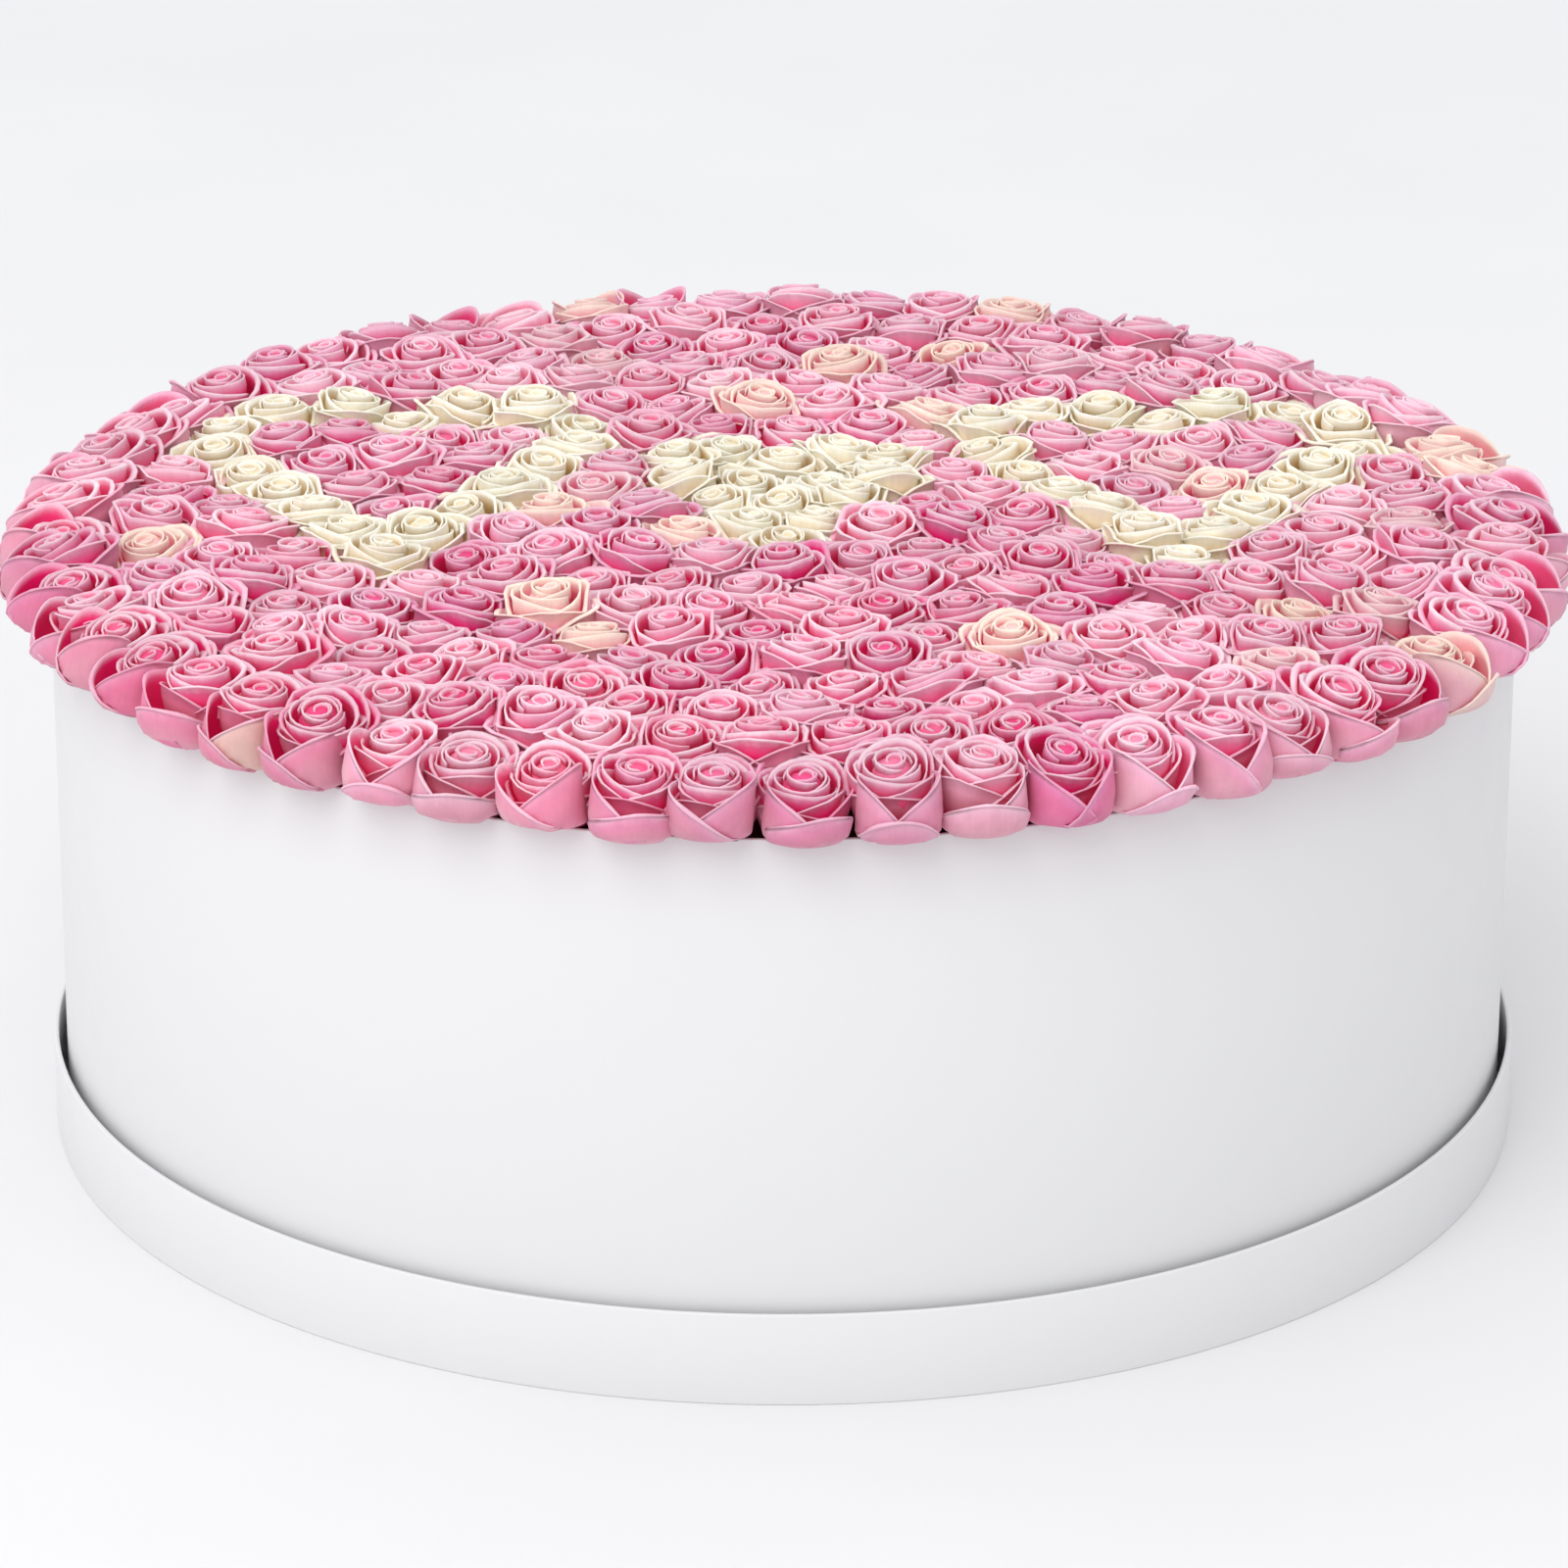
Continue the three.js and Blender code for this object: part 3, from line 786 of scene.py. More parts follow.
def nodes_of_roses(places):
    """The part's node that each rose belongs to, and whether a stem goes down into the foam."""
    names = [n for n in frame["nodes"] if n.startswith(("pink_", "cream_"))]
    points = {n: points_of(frame["nodes"][n]) / MM for n in sorted(names)}
    outward = places / np.maximum(1, np.hypot(*places.T))[:, None]
    owners, stemmed = [], []
    for place, out in zip(places, outward):
        edge = np.clip((np.hypot(*place) - LEAN_START) / (RIM_RING_RADIUS - LEAN_START), 0, 1)
        pit = place + out * PIT_LEAN * edge
        nearest = {n: np.hypot(*(p[:, :2] - pit).T).min() for n, p in points.items()}
        owner = min(nearest, key=nearest.get)
        feet = points[owner][points[owner][:, 2] < STEM_FEET_Z]
        owners.append(owner)
        stemmed.append(len(feet) > 0 and np.hypot(*(feet[:, :2] - place).T).min() < STEM_SEARCH)
    return owners, stemmed


# One bloom

def add_facts(piece, name, values):
    """Gives a piece's points values that its material reads: one row for each, or one for all."""
    facts = piece.data.attributes.new(name, "FLOAT_COLOR", "POINT")
    rows = np.broadcast_to(values, (len(piece.data.vertices), 4))
    facts.data.foreach_set("color", rows.astype(np.float32).ravel())


def add_petal_map(piece, own_map):
    layer = piece.data.uv_layers.active
    layer.name = "petal_map"
    rows = np.broadcast_to(own_map, (len(piece.data.loops), 2))
    layer.data.foreach_set("uv", rows.astype(np.float32).ravel())


def label_petal(piece, across, below, grade, chance):
    """Writes a petal's own map and facts. Its first points lie on its outer face."""
    mesh = piece.data
    outer_points = len(across)
    corners = np.empty(len(mesh.loops), np.int32)
    mesh.loops.foreach_get("vertex_index", corners)
    plain = corners % outer_points
    add_petal_map(piece, np.stack([(across[plain] + 1) / 2, below[plain]], 1))
    values = np.ones((len(mesh.vertices), 4))
    values[:, 0] = np.arange(len(values)) >= outer_points
    values[:, 1] = grade
    values[:, 2] = chance
    add_facts(piece, "petal", values)


def label_plain(piece, grade, below, chance):
    """Writes the map and facts of a piece that isn't a petal, the same all over it."""
    add_petal_map(piece, (0.5, below))
    add_facts(piece, "petal", (1, grade, chance, 1))


def thicken(piece, thickness):
    modifier = piece.modifiers.new("thickness", "SOLIDIFY")
    modifier.thickness = thickness
    modifier.offset = 0
    select_only([piece])
    bpy.ops.object.modifier_apply(modifier=modifier.name)


def petal_sheet(columns, rows):
    """A flat grid, with its points' place across (-1 to 1), their row's values, and the lip."""
    last = len(rows) - 1
    clear_selection()
    bpy.ops.mesh.primitive_grid_add(x_subdivisions=columns, y_subdivisions=last, size=2)
    sheet = bpy.context.object
    flat = points_of(sheet)
    row = np.rint((flat[:, 1] + 1) / 2 * last).astype(int)
    return sheet, flat[:, 0], np.array(rows)[row].T, row == last


def pointed_tip(across, middle, tip):
    """How much of its lip's point each part of a petal has."""
    half_width, sharpness = tip
    return np.maximum(0, 1 - np.abs(across - middle) / half_width) ** sharpness


def finish_petal(petal, points, thickness, across, below, grade, chance):
    """Moves the sheet to its points, gives it its thickness and labels it."""
    move_points(petal, np.stack(points, 1) * MM)
    thicken(petal, thickness)
    label_petal(petal, across, below, grade, chance.random())
    return petal


def shape_petal(layer, turn, sizes, chance):
    """A cupped petal whose rolled lip has a pointed tip and falls away to both sides."""
    petal, across, (up, out, below), lip = petal_sheet(layer.columns, layer.rows)
    radius = layer.radius + stray(chance, PETAL_STRAY.radius)
    height = layer.height + stray(chance, PETAL_STRAY.height)
    drop = layer.drop + stray(chance, PETAL_STRAY.drop) * layer.grade
    tilt = stray(chance, PETAL_STRAY.tilt) * layer.grade
    wave = chance.uniform(*WAVE_START)
    tip = pointed_tip(across, stray(chance, PETAL_STRAY.tip), PETAL_TIP)
    half_width = math.radians(layer.half_width + stray(chance, PETAL_STRAY.half_width))
    roll = layer.roll * (0.8 + 0.35 * np.abs(across)) * chance.uniform(0.75, 1.25)

    lip_height = height - drop * np.abs(across) ** 1.7 + tilt * across
    lip_height = lip_height + 0.5 * np.sin(3 * across + wave)
    lip_radius = radius + layer.cusp * tip - 0.9 * across + 0.5 * np.sin(2.3 * across + wave)
    angle = turn + across * half_width * (0.72 + 0.28 * out)
    reach = layer.root_radius + (lip_radius - layer.root_radius) * out + roll * lip
    rise = layer.root_height + (lip_height - layer.root_height) * up - 0.42 * roll * lip
    points = (reach * np.cos(angle), reach * np.sin(angle), rise)
    return finish_petal(petal, points, sizes.petal_thickness, across, below, layer.grade, chance)


def shape_bud_petal(place, turn, sizes, size, middle, chance):
    """One of the petals that wind round each other in the bud. Its outer end slips down."""
    layer = BUD_LAYERS[place]
    petal, across, (up, out, below), lip = petal_sheet(layer.columns, layer.rows)
    wave = chance.uniform(*WAVE_START)
    half_width = math.radians(BUD_HALF_WIDTH + stray(chance, BUD_STRAY.half_width))
    lip_height = layer.height + stray(chance, BUD_STRAY.height)
    lip_height = lip_height - BUD_START_DROP * np.maximum(0, across) ** 2.4
    lip_height = lip_height - BUD_END_DROP * smoothstep(0.35, 1.1, -across)
    lip_height = lip_height + 0.4 * np.sin(4 * across + wave)
    lip_radius = layer.radius * size * (1 + 0.022 * np.sin(3.1 * across + wave)) - 0.8 * across
    angle = turn + across * half_width
    reach = lip_radius * out + 0.25 * lip
    rise = BUD_ROOT_HEIGHT + (lip_height - BUD_ROOT_HEIGHT) * up - 0.2 * lip
    x, y = np.array(middle) * place
    points = (reach * np.cos(angle) + x, reach * np.sin(angle) + y, rise)
    thickness = sizes.petal_thickness * BUD_THICKNESS
    return finish_petal(petal, points, thickness, across, below, 0.0, chance)


def shape_core(size):
    """The closed heart of the bud, a dome that its petals wind round."""
    clear_selection()
    low, *tops = BUD_CORE_TOPS
    first, *radii = BUD_CORE_RADII
    bpy.ops.mesh.primitive_cylinder_add(
        vertices=BUD_CORE_SIDES, radius=first * size * MM, depth=(tops[0] - low) * MM,
        location=(0, 0, (low + tops[0]) / 2 * MM))
    core = start_shaping(faces_up)
    resize_by(radii[0] / first)
    for wide, narrow, under, over in zip(radii, radii[1:], tops, tops[1:]):
        extrude_by((over - under) * MM)
        resize_by(narrow / wide)
    bpy.ops.object.mode_set(mode="OBJECT")
    label_plain(core, 0.0, 0.16, 0.5)
    return core


def shape_calyx():
    """The green base under the petals, down to the foam."""
    clear_selection()
    low, high = CALYX_RADII
    bpy.ops.mesh.primitive_cone_add(
        vertices=CALYX_SIDES, radius1=low * MM, radius2=high * MM, depth=CALYX_HEIGHT * MM,
        location=(0, 0, CALYX_MIDDLE * MM))
    calyx = start_shaping(faces_down)
    extrude_by(-CALYX_FOOT * MM)
    resize_by(0.6)
    bpy.ops.object.mode_set(mode="OBJECT")
    label_plain(calyx, 2.0, 0.5, 0.5)
    return calyx


def shape_stem(foot):
    """A cut stem, from the calyx down into its hole in the foam."""
    clear_selection()
    bpy.ops.mesh.primitive_cylinder_add(
        vertices=STEM_SIDES, radius=STEM_RADIUS * MM, depth=-foot * MM,
        location=(0, 0, foot / 2 * MM))
    stem = start_shaping(faces_down)
    resize_by(0.8)
    bpy.ops.object.mode_set(mode="OBJECT")
    label_plain(stem, 2.0, 0.5, 0.2)
    return stem


def store_shape(parts, name):
    """Joins parts to one shape, which is copied later and doesn't render itself."""
    shape = join_pieces(parts)
    bpy.ops.object.shade_smooth()
    shape.name = name
    shape.data.name = name
    shape.hide_render = True


def shape_bloom(name, sizes, chance):
    """A whole bloom: bud, petals in their layers, and calyx."""
    size = sizes.bud_scale * chance.uniform(*BUD_SIZES)
    turn = chance.uniform(0, 360)
    parts = [shape_core(size), shape_calyx()]
    middle = (stray(chance, BUD_STRAY.middle), stray(chance, BUD_STRAY.middle))
    for place in range(len(BUD_LAYERS)):
        angle = math.radians(turn + GOLDEN_TURN * place + stray(chance, BUD_STRAY.turn))
        parts.append(shape_bud_petal(place, angle, sizes, size, middle, chance))
    for number, layer in enumerate(PETAL_LAYERS):
        for k in range(layer.count):
            angle = turn + 360 * (k + number * 0.5) / layer.count
            angle = math.radians(angle + stray(chance, PETAL_STRAY.turn))
            parts.append(shape_petal(layer, angle, sizes, chance))
    store_shape(parts, name)


def shape_guard_petal(guard, set_turn, set_lift, sizes, chance):
    """A wide petal that starts inside the box, cups the rose and bulges over the rim at +X."""
    petal, across, (up, rolled), lip = petal_sheet(GUARD_COLUMNS, GUARD_ROWS)
    left, top, right = guard.left, guard.top + set_lift, guard.right
    wave = chance.uniform(*WAVE_START)
    lip_height = top + (right - left) / 2 * across + ((left + right) / 2 - top) * across ** 2
    lip_height = lip_height + stray(chance, GUARD_STRAY.height) + 1.1 * np.sin(2.7 * across + wave)
    tip = pointed_tip(across, stray(chance, GUARD_STRAY.tip), GUARD_TIP)
    lip_height = lip_height + GUARD_TIP_RISE * tip
    roll = GUARD_ROLL * chance.uniform(0.6, 1.3) * (1 - 0.6 * across ** 2) * (1 + 1.1 * tip)

    rise = GUARD_ROOT_RISE + (lip_height - GUARD_ROOT_RISE) * up - 0.35 * roll * lip
    cup = np.array(GUARD_CUP)
    middle, outwards, sideways = (np.interp(rise, cup[:, 0], cup[:, k]) for k in (1, 2, 3))
    half_width = math.radians(guard.half_width)
    angle = math.radians(guard.turn + set_turn) + across * half_width * (0.85 + 0.15 * up)
    belly = (guard.loose + 0.6 * np.sin(1.7 * across + wave)) * up + roll * rolled
    along = middle + (outwards + belly) * np.cos(angle)
    aside = (sideways + belly * 0.6) * np.sin(angle)
    below = DEPTH_SCALE * (lip_height - rise)
    thickness = sizes.petal_thickness * GUARD_THICKNESS
    return finish_petal(petal, (along, aside, rise), thickness, across, below, 1.0, chance)


def shape_guard_set(name, guards, sizes, chance):
    """The guard petals of one rim rose, a little turned and higher or lower than their set."""
    turn = stray(chance, GUARD_STRAY.set_turn)
    lift = chance.uniform(*GUARD_LIFT)
    store_shape([shape_guard_petal(GuardPetal(*guard), turn, lift, sizes, chance)
                 for guard in guards], name)


def fit_guard(points, place, chance):
    """Turns a set of guard petals outwards at a rim rose, and lets it sag over the rim."""
    x, y, z = (points / MM).T
    slant = math.tan(math.radians(stray(chance, GUARD_STRAY.slant)))
    y = y + slant * np.maximum(0, z - GUARD_SLANT_START)
    droop = chance.uniform(*GUARD_DROOP) * smoothstep(*DROOP_REACH, x)
    z = z - droop * (1 - smoothstep(*DROOP_HEIGHT, z))
    out = math.atan2(place[1], place[0]) + math.radians(stray(chance, GUARD_STRAY.own_turn))
    x, y = turned(x, y, -out)
    return np.stack([place[0] + x, place[1] + y, RIM_Z + z], 1) * MM


def fit_bloom(points, place, reach, twist, tilt, lift, rim_share, sizes):
    """Turns, spreads, leans and places a bloom's points, so that it fills its own room."""
    x, y, rise = points.T / MM
    radius = np.hypot(x, y)
    angle = np.arctan2(y, x) + twist
    directions = np.arange(REACH_DIRECTIONS + 1) * 2 * math.pi / REACH_DIRECTIONS
    free = np.interp(angle % (2 * math.pi), directions, np.append(reach, reach[0]))
    out = math.atan2(place[1], place[0])
    shift = RIM_SHIFT * rim_share
    inwards = ((1 - np.cos(angle - out)) / 2) ** 2
    narrow, wide = RIM_REACH
    limit = narrow + (wide - narrow) * np.maximum(inwards, 1 - rim_share)
    free = np.minimum(free - shift * np.cos(angle - out), limit)

    size = np.clip(np.median(reach) / PLAIN_REACH, *SIZE_RANGE)
    spread = smoothstep(SPREAD_START, SPREAD_END, radius)
    widening = SPREAD_SHARE * spread * (free - PLAIN_REACH * size)
    radius = radius * size + widening * smoothstep(*SPREAD_RISES, rise)
    held_in = GUARD_HOLD * rim_share * (1 - inwards)
    radius = radius - held_in * np.maximum(0, radius - GUARD_HOLD_START)

    rise = rise + lift - RIM_DROP * rim_share
    high = smoothstep(*LEAN_RISES, rise)
    lean = (sizes.lean * rim_share * (1 - LEAN_LESS * spread) + tilt[0]) * high
    along, height = turned(radius * np.cos(angle - out), rise - PIVOT_RISE, lean)
    aside, height = turned(radius * np.sin(angle - out), height, tilt[1] * high)
    x, y = turned(along + shift * high, aside, -out)
    x, y = place[0] + x, place[1] + y
    clearance = np.interp(np.hypot(x, y), CLEARANCE_RADII, CLEARANCE_RISES)
    return np.stack([x, y, RIM_Z + np.maximum(PIVOT_RISE + height, clearance)], 1) * MM


class ROSEBOX_OT_blooms(bpy.types.Operator):
    """Shapes the blooms that the roses are copied from"""

    bl_idname = "rosebox.blooms"
    bl_label = "Bloom shapes"

    def execute(self, context):
        sizes = context.scene.rose_box_roses
        chance = random.Random(sizes.seed)
        for k in range(sizes.kinds):
            shape_bloom(f"bloom_{k}", sizes, chance)
        for k in range(GUARD_KINDS):
            shape_guard_set(f"guard_{k}", GUARD_SETS[k % len(GUARD_SETS)], sizes, chance)
        stem = shape_stem((FOAM_HIGH.z - BODY_HIGH.z) / MM - STEM_DEPTH)
        stem.name = "stem_shape"
        stem.hide_render = True
        return {"FINISHED"}


PetalFacts = namedtuple(
    "PetalFacts", "across below inner grade outermost chance warmth lightness paleness")


def petal_facts(tree):
    """What the material knows at each point: its petal's map and facts, and its rose's colour."""
    own_map = tree.nodes.new("ShaderNodeUVMap")
    own_map.uv_map = "petal_map"
    across, below = parts_of(tree, own_map.outputs["UV"])[:2]
    inner, grade, chance = attribute(tree, "petal")[:3]
    outermost = product(tree, spread_node(tree, grade, 0.7, 1.0), opposite(tree, inner))
    return PetalFacts(across, below, inner, grade, outermost, chance, *attribute(tree, "rose")[:3])


def petal_depth_and_shade(tree, at):
    """How far a point has the colour of the bloom's depth, partly the petals' own deeper base and
    partly painted shade: soon on the inner face of a petal.
    """
    share = tree.nodes.new("ShaderNodeMix")
    feed(tree, share.inputs[0], at.inner)
    feed(tree, share.inputs[2], product(
        tree, spread_node(tree, at.below, 0.02, 0.36, 0.0, 0.9),
        spread_node(tree, at.outermost, 0.0, 1.0, 1.0, 0.4)))
    feed(tree, share.inputs[3], spread_node(tree, at.below, 0.01, 0.26, 0.08, 1.0))
    return share.outputs[0]


def petal_lip(tree, at):
    """How far a point has the pale colour of the lip, whose width and strength vary."""
    edge = tree.nodes.new("ShaderNodeCombineXYZ")
    feed(tree, edge.inputs[0], at.across)
    feed(tree, edge.inputs[1], at.below)
    width = spread_node(tree, noise_node(tree, edge.outputs[0], 9.0, 2.0), 0.3, 0.7, -0.03, 0.03)
    past_lip = spread_node(tree, math_node(tree, "ADD", at.below, width), -0.01, 0.17)
    return product(
        tree, opposite(tree, past_lip), spread_node(tree, at.chance, 0.0, 1.0, 0.45, 0.95),
        spread_node(tree, at.grade, 0.6, 1.0, 1.0, 0.75),
        spread_node(tree, at.outermost, 0.0, 1.0, 1.0, 0.5))


def petal_colour(tree, at, depth_and_shade_share, tint):
    """The rose's tint: deeper inside, partly as painted shade, dusty or aged on the outermost
    petals, pale at the lips.
    """
    hue = mix_node(tree, at.warmth, tint["cool"], tint["warm"])
    tinted = mix_node(tree, 0.45, tint["face"], hue)
    least_pale = spread_node(tree, at.paleness, 0.0, 0.2, 0.32, 0.0)
    tinted = mix_node(tree, least_pale, tinted, tint["depth"])
    palest = mix_node(tree, spread_node(tree, at.paleness, 0.7, 0.9), tint["lip"], tint["ivory"])
    tinted = mix_node(tree, product(tree, at.paleness, 0.85), tinted, palest)
    deepest = mix_node(tree, product(tree, at.paleness, 0.8), tint["depth"], tinted)
    colour = mix_node(tree, depth_and_shade_share, tinted, deepest)
    dusty = product(tree, spread_node(tree, at.chance, 0.1, 0.8, 0.25, 0.85),
                    spread_node(tree, at.below, 0.05, 0.5, 0.35, 1.0), at.outermost)
    colour = mix_node(tree, dusty, colour, tint["guard"])
    aged = product(tree, spread_node(tree, at.chance, 0.9, 0.92, 0.0, 0.55), at.outermost,
                   spread_node(tree, at.warmth, 0.72, 0.9))
    colour = mix_node(tree, aged, colour, tint["aged"])
    return mix_node(tree, petal_lip(tree, at), colour, palest)


def petal_veins(tree, at):
    """Fine lines up each petal, a pattern of its own for each."""
    stretch = tree.nodes.new("ShaderNodeCombineXYZ")
    feed(tree, stretch.inputs[0], product(tree, at.across, VEINS_ACROSS))
    feed(tree, stretch.inputs[1], product(tree, at.below, VEINS_ALONG))
    feed(tree, stretch.inputs[2], product(tree, at.chance, VEINS_APART))
    return noise_node(tree, stretch.outputs[0], 1.0, 3.0, 0.6)


def petal_material(flower, colours):
    """Petals: pale rolled lips, a deeper colour down inside that is partly painted shade, fine
    veins, a soft sheen and a painted glow that lifts the shade deep in the petals.
    """
    material, tree, shader = new_material(f"{flower}_rose_petals")
    tint = {shade: tuple(getattr(colours, f"{flower}_{shade}")) for shade in PETAL_SHADES}
    at = petal_facts(tree)
    depth_and_shade_share = petal_depth_and_shade(tree, at)
    veins = petal_veins(tree, at)
    blotches = noise_node(tree, object_place(tree), 90.0, 3.0)
    # The tone holds veins, each rose's own lightness and random blotches, and painted shade that
    # darkens the outermost petals a little
    tone = product(tree, spread_node(tree, veins, 0.3, 0.7, 0.965, 1.02),
                   spread_node(tree, at.lightness, 0.0, 1.0, 0.88, 1.04),
                   spread_node(tree, at.outermost, 0.0, 1.0, 1.0, 0.94),
                   spread_node(tree, blotches, 0.3, 0.7, 0.94, 1.03))
    shade = tree.nodes.new("ShaderNodeHueSaturation")
    feed_all(tree, shade, {
        "Color": petal_colour(tree, at, depth_and_shade_share, tint),
        "Saturation": spread_node(tree, at.lightness, 0.0, 1.0, 1.16, 0.92),
        "Value": tone,
    })
    green = spread_node(tree, at.grade, *GREEN_GRADES)
    # Painted glow: an emission that grows with the depth share, lifting the shade low in the
    # petals; weaker on the outermost petals and none on the calyx
    glow = product(tree, spread_node(tree, depth_and_shade_share, 0.0, 1.0, 0.3, 1.0),
                   opposite(tree, product(tree, at.outermost, 0.6)), opposite(tree, green))
    feed_all(tree, shader, {
        "Base Color": mix_node(tree, green, shade.outputs[0], tuple(colours.calyx)),
        "Roughness": spread_node(tree, veins, 0.2, 0.8, 0.52, 0.68),
        "Normal": bump_node(tree, veins, 0.00015, 0.2),
        "Specular IOR Level": 0.3,
        "Sheen Weight": 0.08,
        "Sheen Roughness": 0.45,
        "Emission Color": mix_node(tree, glow, (0, 0, 0), tint["glow"]),
        "Emission Strength": 1.0,
    })
    material.cycles.emission_sampling = "NONE"
    return material


def draw_colour(chance, place, cream):
    """Warmth, lightness and paleness of one rose. The pink is paler towards the back right."""
    pale = chance.random()
    ivory = pale > IVORY_FROM
    if cream:
        paleness = CREAM_PALENESS * chance.random()
    elif ivory:
        paleness = IVORY_PALENESS
    else:
        paleness = 0.35 + 2 * (pale - BLUSH_FROM) if pale > BLUSH_FROM else 0.4 * pale
        away = (0.5 * (place[0] + abs(place[0])) + 0.6 * place[1]) / RIM_RING_RADIUS
        paleness = max(0, paleness + PALER_ALL + PALER_AWAY * away)
    lightness = chance.random()
    if cream or ivory:
        lightness = 0.5 + 0.5 * lightness
    return chance.random(), lightness, paleness, 1.0


def copy_shape(shape, points, colour):
    """A copy of a shape at its own points, in its rose's colour."""
    head = shape.copy()
    head.data = shape.data.copy()
    head.hide_render = False
    bpy.context.scene.collection.objects.link(head)
    move_points(head, points)
    add_facts(head, "rose", colour)
    return head


def plant_roses(context, flower):
    """Copies a bloom to each place of one flower, and joins those of each node to one piece."""
    material = petal_material(flower, context.scene.rose_box_colours)
    sizes = context.scene.rose_box_roses
    places = rose_places()
    free = reaches(places)
    owners, stemmed = nodes_of_roses(places)
    stem_shape = bpy.data.objects["stem_shape"]
    heads = {}
    for k, (place, owner) in enumerate(zip(places, owners)):
        if not owner.startswith(flower):
            continue
        chance = random.Random(sizes.seed * 1000 + k)
        shape = bpy.data.objects[f"bloom_{chance.randrange(sizes.kinds)}"]
        twist = chance.uniform(0, 2 * math.pi)
        tilt = (math.radians(stray(chance, TILT)), math.radians(stray(chance, TILT)))
        lift = (chance.random() - 0.5) * sizes.height_wander / MM
        edge = np.clip((math.hypot(*place) - LEAN_START) / (RIM_RING_RADIUS - LEAN_START), 0, 1)
        points = fit_bloom(points_of(shape), place, free[k], twist, tilt, lift, edge, sizes)
        colour = draw_colour(chance, place, flower == "cream")
        parts = heads.setdefault(owner, [])
        parts.append(copy_shape(shape, points, colour))
        if k < RIM_ROSES:
            shape = bpy.data.objects[f"guard_{chance.randrange(GUARD_KINDS)}"]
            points = fit_guard(points_of(shape), place, chance)
            parts.append(copy_shape(shape, points, colour))
        if stemmed[k]:
            points = points_of(stem_shape) + np.array([*place, RIM_Z]) * MM
            parts.append(copy_shape(stem_shape, points, colour))
    for owner, parts in sorted(heads.items()):
        piece = join_pieces(parts)
        finish_piece(piece, owner + "_petals", [owner], [material])


class ROSEBOX_OT_pink_roses(bpy.types.Operator):
    """Pink roses, outside and inside the hearts"""

    bl_idname = "rosebox.pink_roses"
    bl_label = "Pink roses"

    def execute(self, context):
        plant_roses(context, "pink")
        return {"FINISHED"}


class ROSEBOX_OT_cream_roses(bpy.types.Operator):
    """Cream roses that make the hearts"""

    bl_idname = "rosebox.cream_roses"
    bl_label = "Cream roses"

    def execute(self, context):
        plant_roses(context, "cream")
        return {"FINISHED"}


class ROSEBOX_OT_clear_shapes(bpy.types.Operator):
    """Removes the shapes that the roses were copied from"""

    bl_idname = "rosebox.clear_shapes"
    bl_label = "Clear shapes"

    def execute(self, context):
        kinds = ("bloom_", "guard_", "stem_shape")
        for shape in [o for o in bpy.data.objects if o.name.startswith(kinds)]:
            bpy.data.objects.remove(shape)
        return {"FINISHED"}


# Stage

def add_key_light(power):
    """A large soft light, turned towards the middle of the box."""
    light = bpy.data.lights.new("key_light", "AREA")
    light.shape = "DISK"
    light.size = LIGHT_WIDTH
    light.energy = power
    light.color = LIGHT_COLOUR
    lamp = bpy.data.objects.new("key_light", light)
    bpy.context.scene.collection.objects.link(lamp)
    lamp.location = LIGHT_PLACE
    x, y, z = np.array(LIGHT_AIM) - LIGHT_PLACE
    lamp.rotation_euler = (math.atan2(math.hypot(x, y), -z), 0, math.atan2(-x, y))


def add_sky(strength):
    """Even light from all round, a little stronger from the left."""
    world = bpy.data.worlds.new("soft_room")
    world.use_nodes = True
    tree = world.node_tree
    sky = tree.nodes["Background"]
    sky.inputs["Color"].default_value = SKY_COLOUR
    directions = tree.nodes.new("ShaderNodeTexCoord").outputs["Generated"]
    sideways = parts_of(tree, directions)[0]
    feed(tree, sky.inputs["Strength"],
         spread_node(tree, sideways, -1.0, 1.0, strength * SKY_LEFT, strength * SKY_RIGHT))
    bpy.context.scene.world = world


def add_camera(settings):
    camera_data = bpy.data.cameras.new("camera")
    camera_data.lens = settings.lens
    camera_data.sensor_width = 36
    camera_data.clip_end = 60
    camera = bpy.data.objects.new("camera", camera_data)
    bpy.context.scene.collection.objects.link(camera)
    camera.location = (CAMERA_ASIDE, -settings.camera_distance, settings.camera_height)
    camera.rotation_euler = (math.radians(90) - settings.camera_pitch, CAMERA_ROLL, 0)
    bpy.context.scene.camera = camera


def floor_material(settings):
    material, tree, shader = new_material("pale_floor")
    grain = noise_node(tree, object_place(tree), 3.0, 3.0)
    shade = mix_node(tree, spread_node(tree, grain, 0.3, 0.7, 0.985, 1.0), (0, 0, 0),
                     tuple(settings.floor))
    feed_all(tree, shader, {"Base Color": shade, "Roughness": 0.9, "Specular IOR Level": 0.1})
    return material


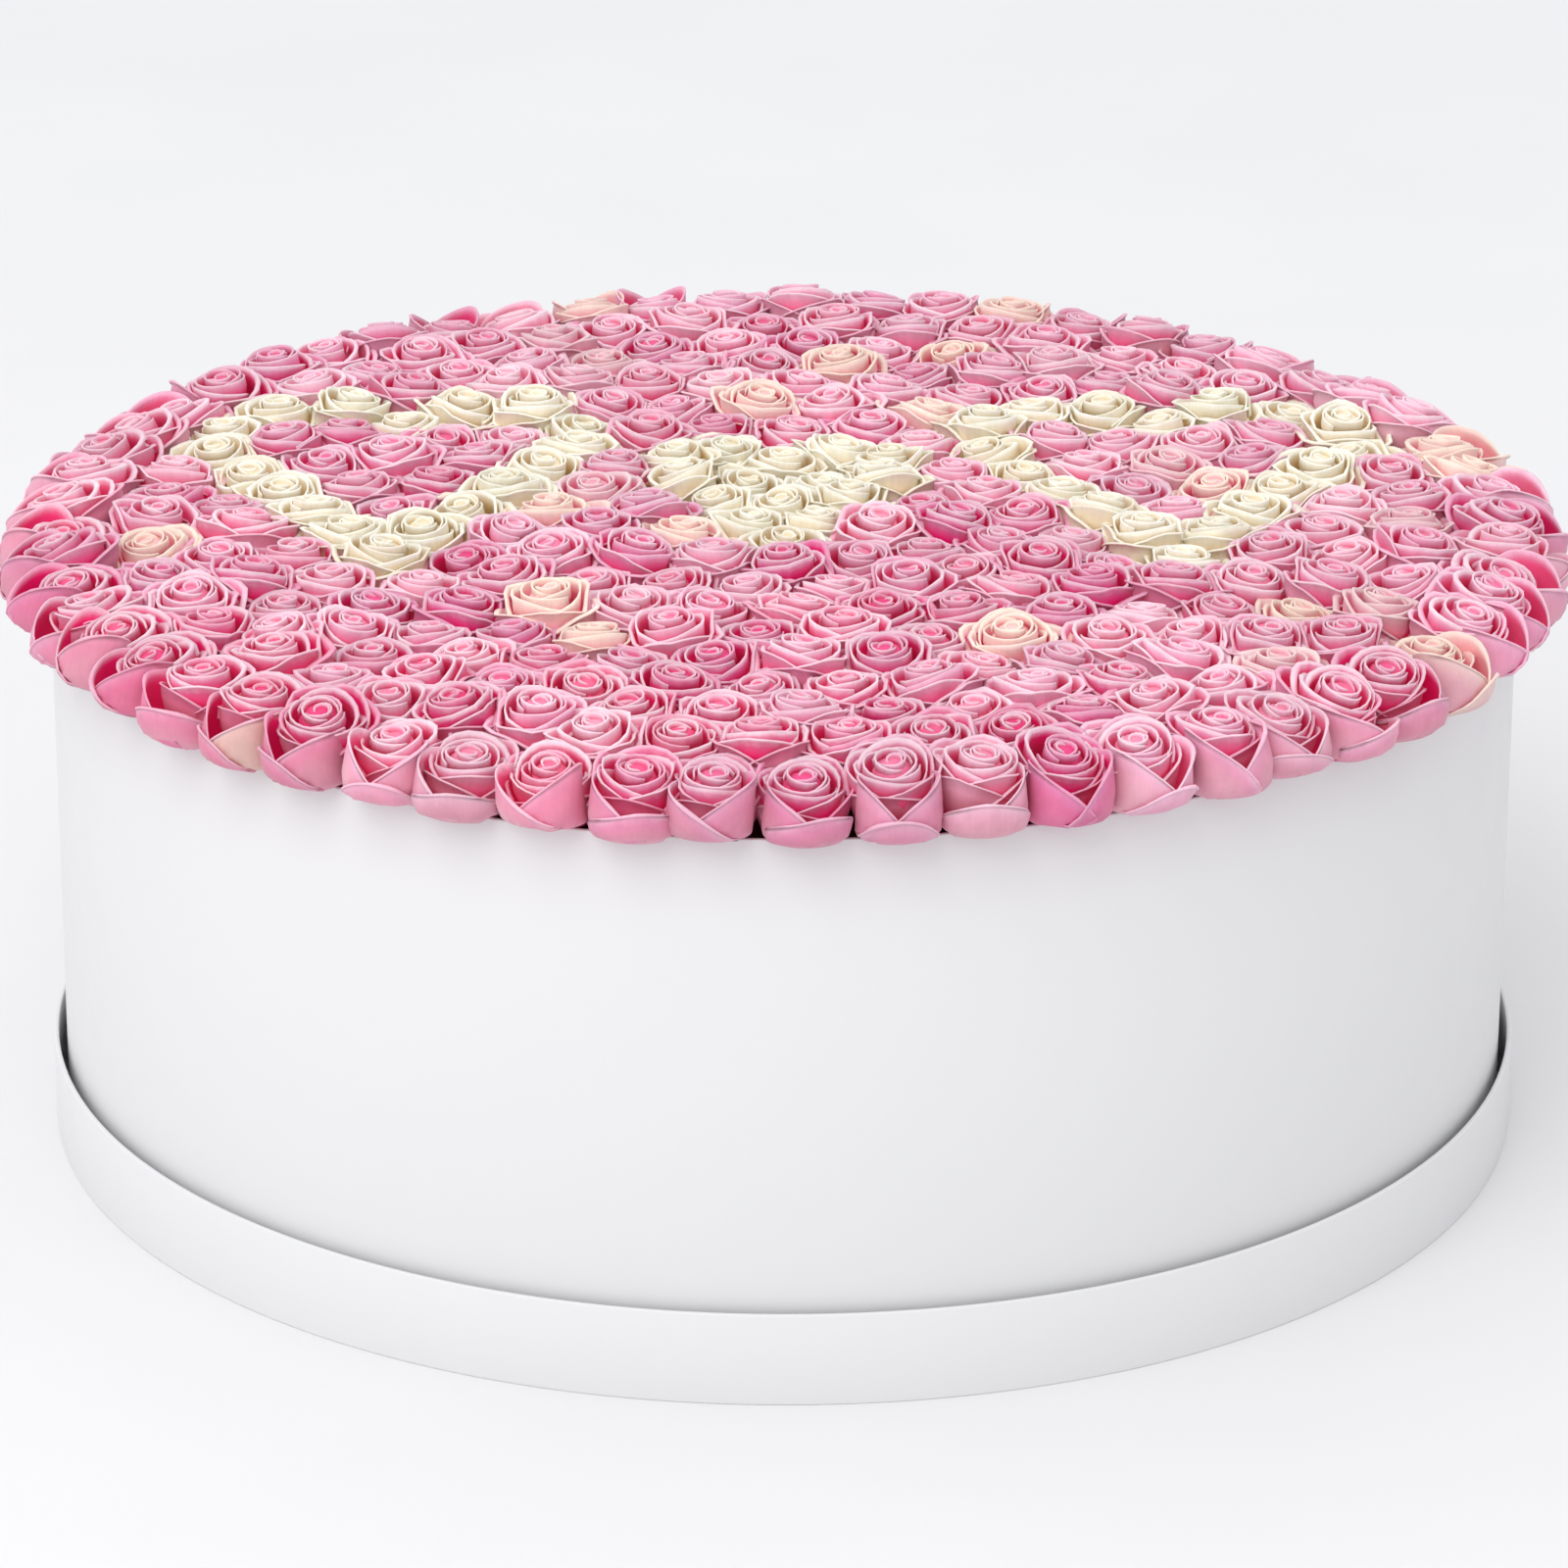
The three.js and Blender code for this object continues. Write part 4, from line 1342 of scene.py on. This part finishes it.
class ROSEBOX_OT_stage(bpy.types.Operator):
    """Plain pale floor, soft studio light and the camera"""

    bl_idname = "rosebox.stage"
    bl_label = "Stage"

    def execute(self, context):
        settings = context.scene.rose_box_stage
        clear_selection()
        bpy.ops.mesh.primitive_circle_add(vertices=96, radius=FLOOR_RADIUS, fill_type="NGON")
        floor = context.object
        floor.name = "floor"
        floor.data.materials.append(floor_material(settings))
        add_sky(settings.sky_strength)
        add_key_light(settings.key_power)
        add_camera(settings)
        context.scene.view_settings.view_transform = "Standard"
        return {"FINISHED"}


class ROSEBOX_PT_panel(bpy.types.Panel):
    """Steps that build the rose box"""

    bl_idname = "ROSEBOX_PT_panel"
    bl_label = "Rose box"
    bl_space_type = "VIEW_3D"
    bl_region_type = "UI"
    bl_category = "Rose box"

    def draw(self, context):
        for step in STEPS:
            self.layout.operator(step.bl_idname)
        for group in PROPERTY_GROUPS:
            settings = getattr(context.scene, PROPERTY_GROUPS[group])
            self.layout.label(text=group.__doc__)
            for name in group.__annotations__:
                self.layout.prop(settings, name)


PROPERTY_GROUPS = {
    BoxSizes: "rose_box_sizes",
    RoseSizes: "rose_box_roses",
    RoseColours: "rose_box_colours",
    BoardFinish: "rose_box_board",
    StageSettings: "rose_box_stage",
}
STEPS = (
    ROSEBOX_OT_body,
    ROSEBOX_OT_lid,
    ROSEBOX_OT_foam,
    ROSEBOX_OT_blooms,
    ROSEBOX_OT_pink_roses,
    ROSEBOX_OT_cream_roses,
    ROSEBOX_OT_clear_shapes,
    ROSEBOX_OT_stage,
)


def register():
    for group in (*PROPERTY_GROUPS, *STEPS, ROSEBOX_PT_panel):
        bpy.utils.register_class(group)
    for group, name in PROPERTY_GROUPS.items():
        setattr(bpy.types.Scene, name, PointerProperty(type=group))


def unregister():
    for name in PROPERTY_GROUPS.values():
        delattr(bpy.types.Scene, name)
    for group in reversed((*PROPERTY_GROUPS, *STEPS, ROSEBOX_PT_panel)):
        bpy.utils.unregister_class(group)


def main():
    register()
    bpy.ops.rosebox.stage()
    bpy.ops.rosebox.body()
    bpy.ops.rosebox.lid()
    bpy.ops.rosebox.foam()
    bpy.ops.rosebox.blooms()
    bpy.ops.rosebox.pink_roses()
    bpy.ops.rosebox.cream_roses()
    bpy.ops.rosebox.clear_shapes()


if __name__ == "__main__":
    main()
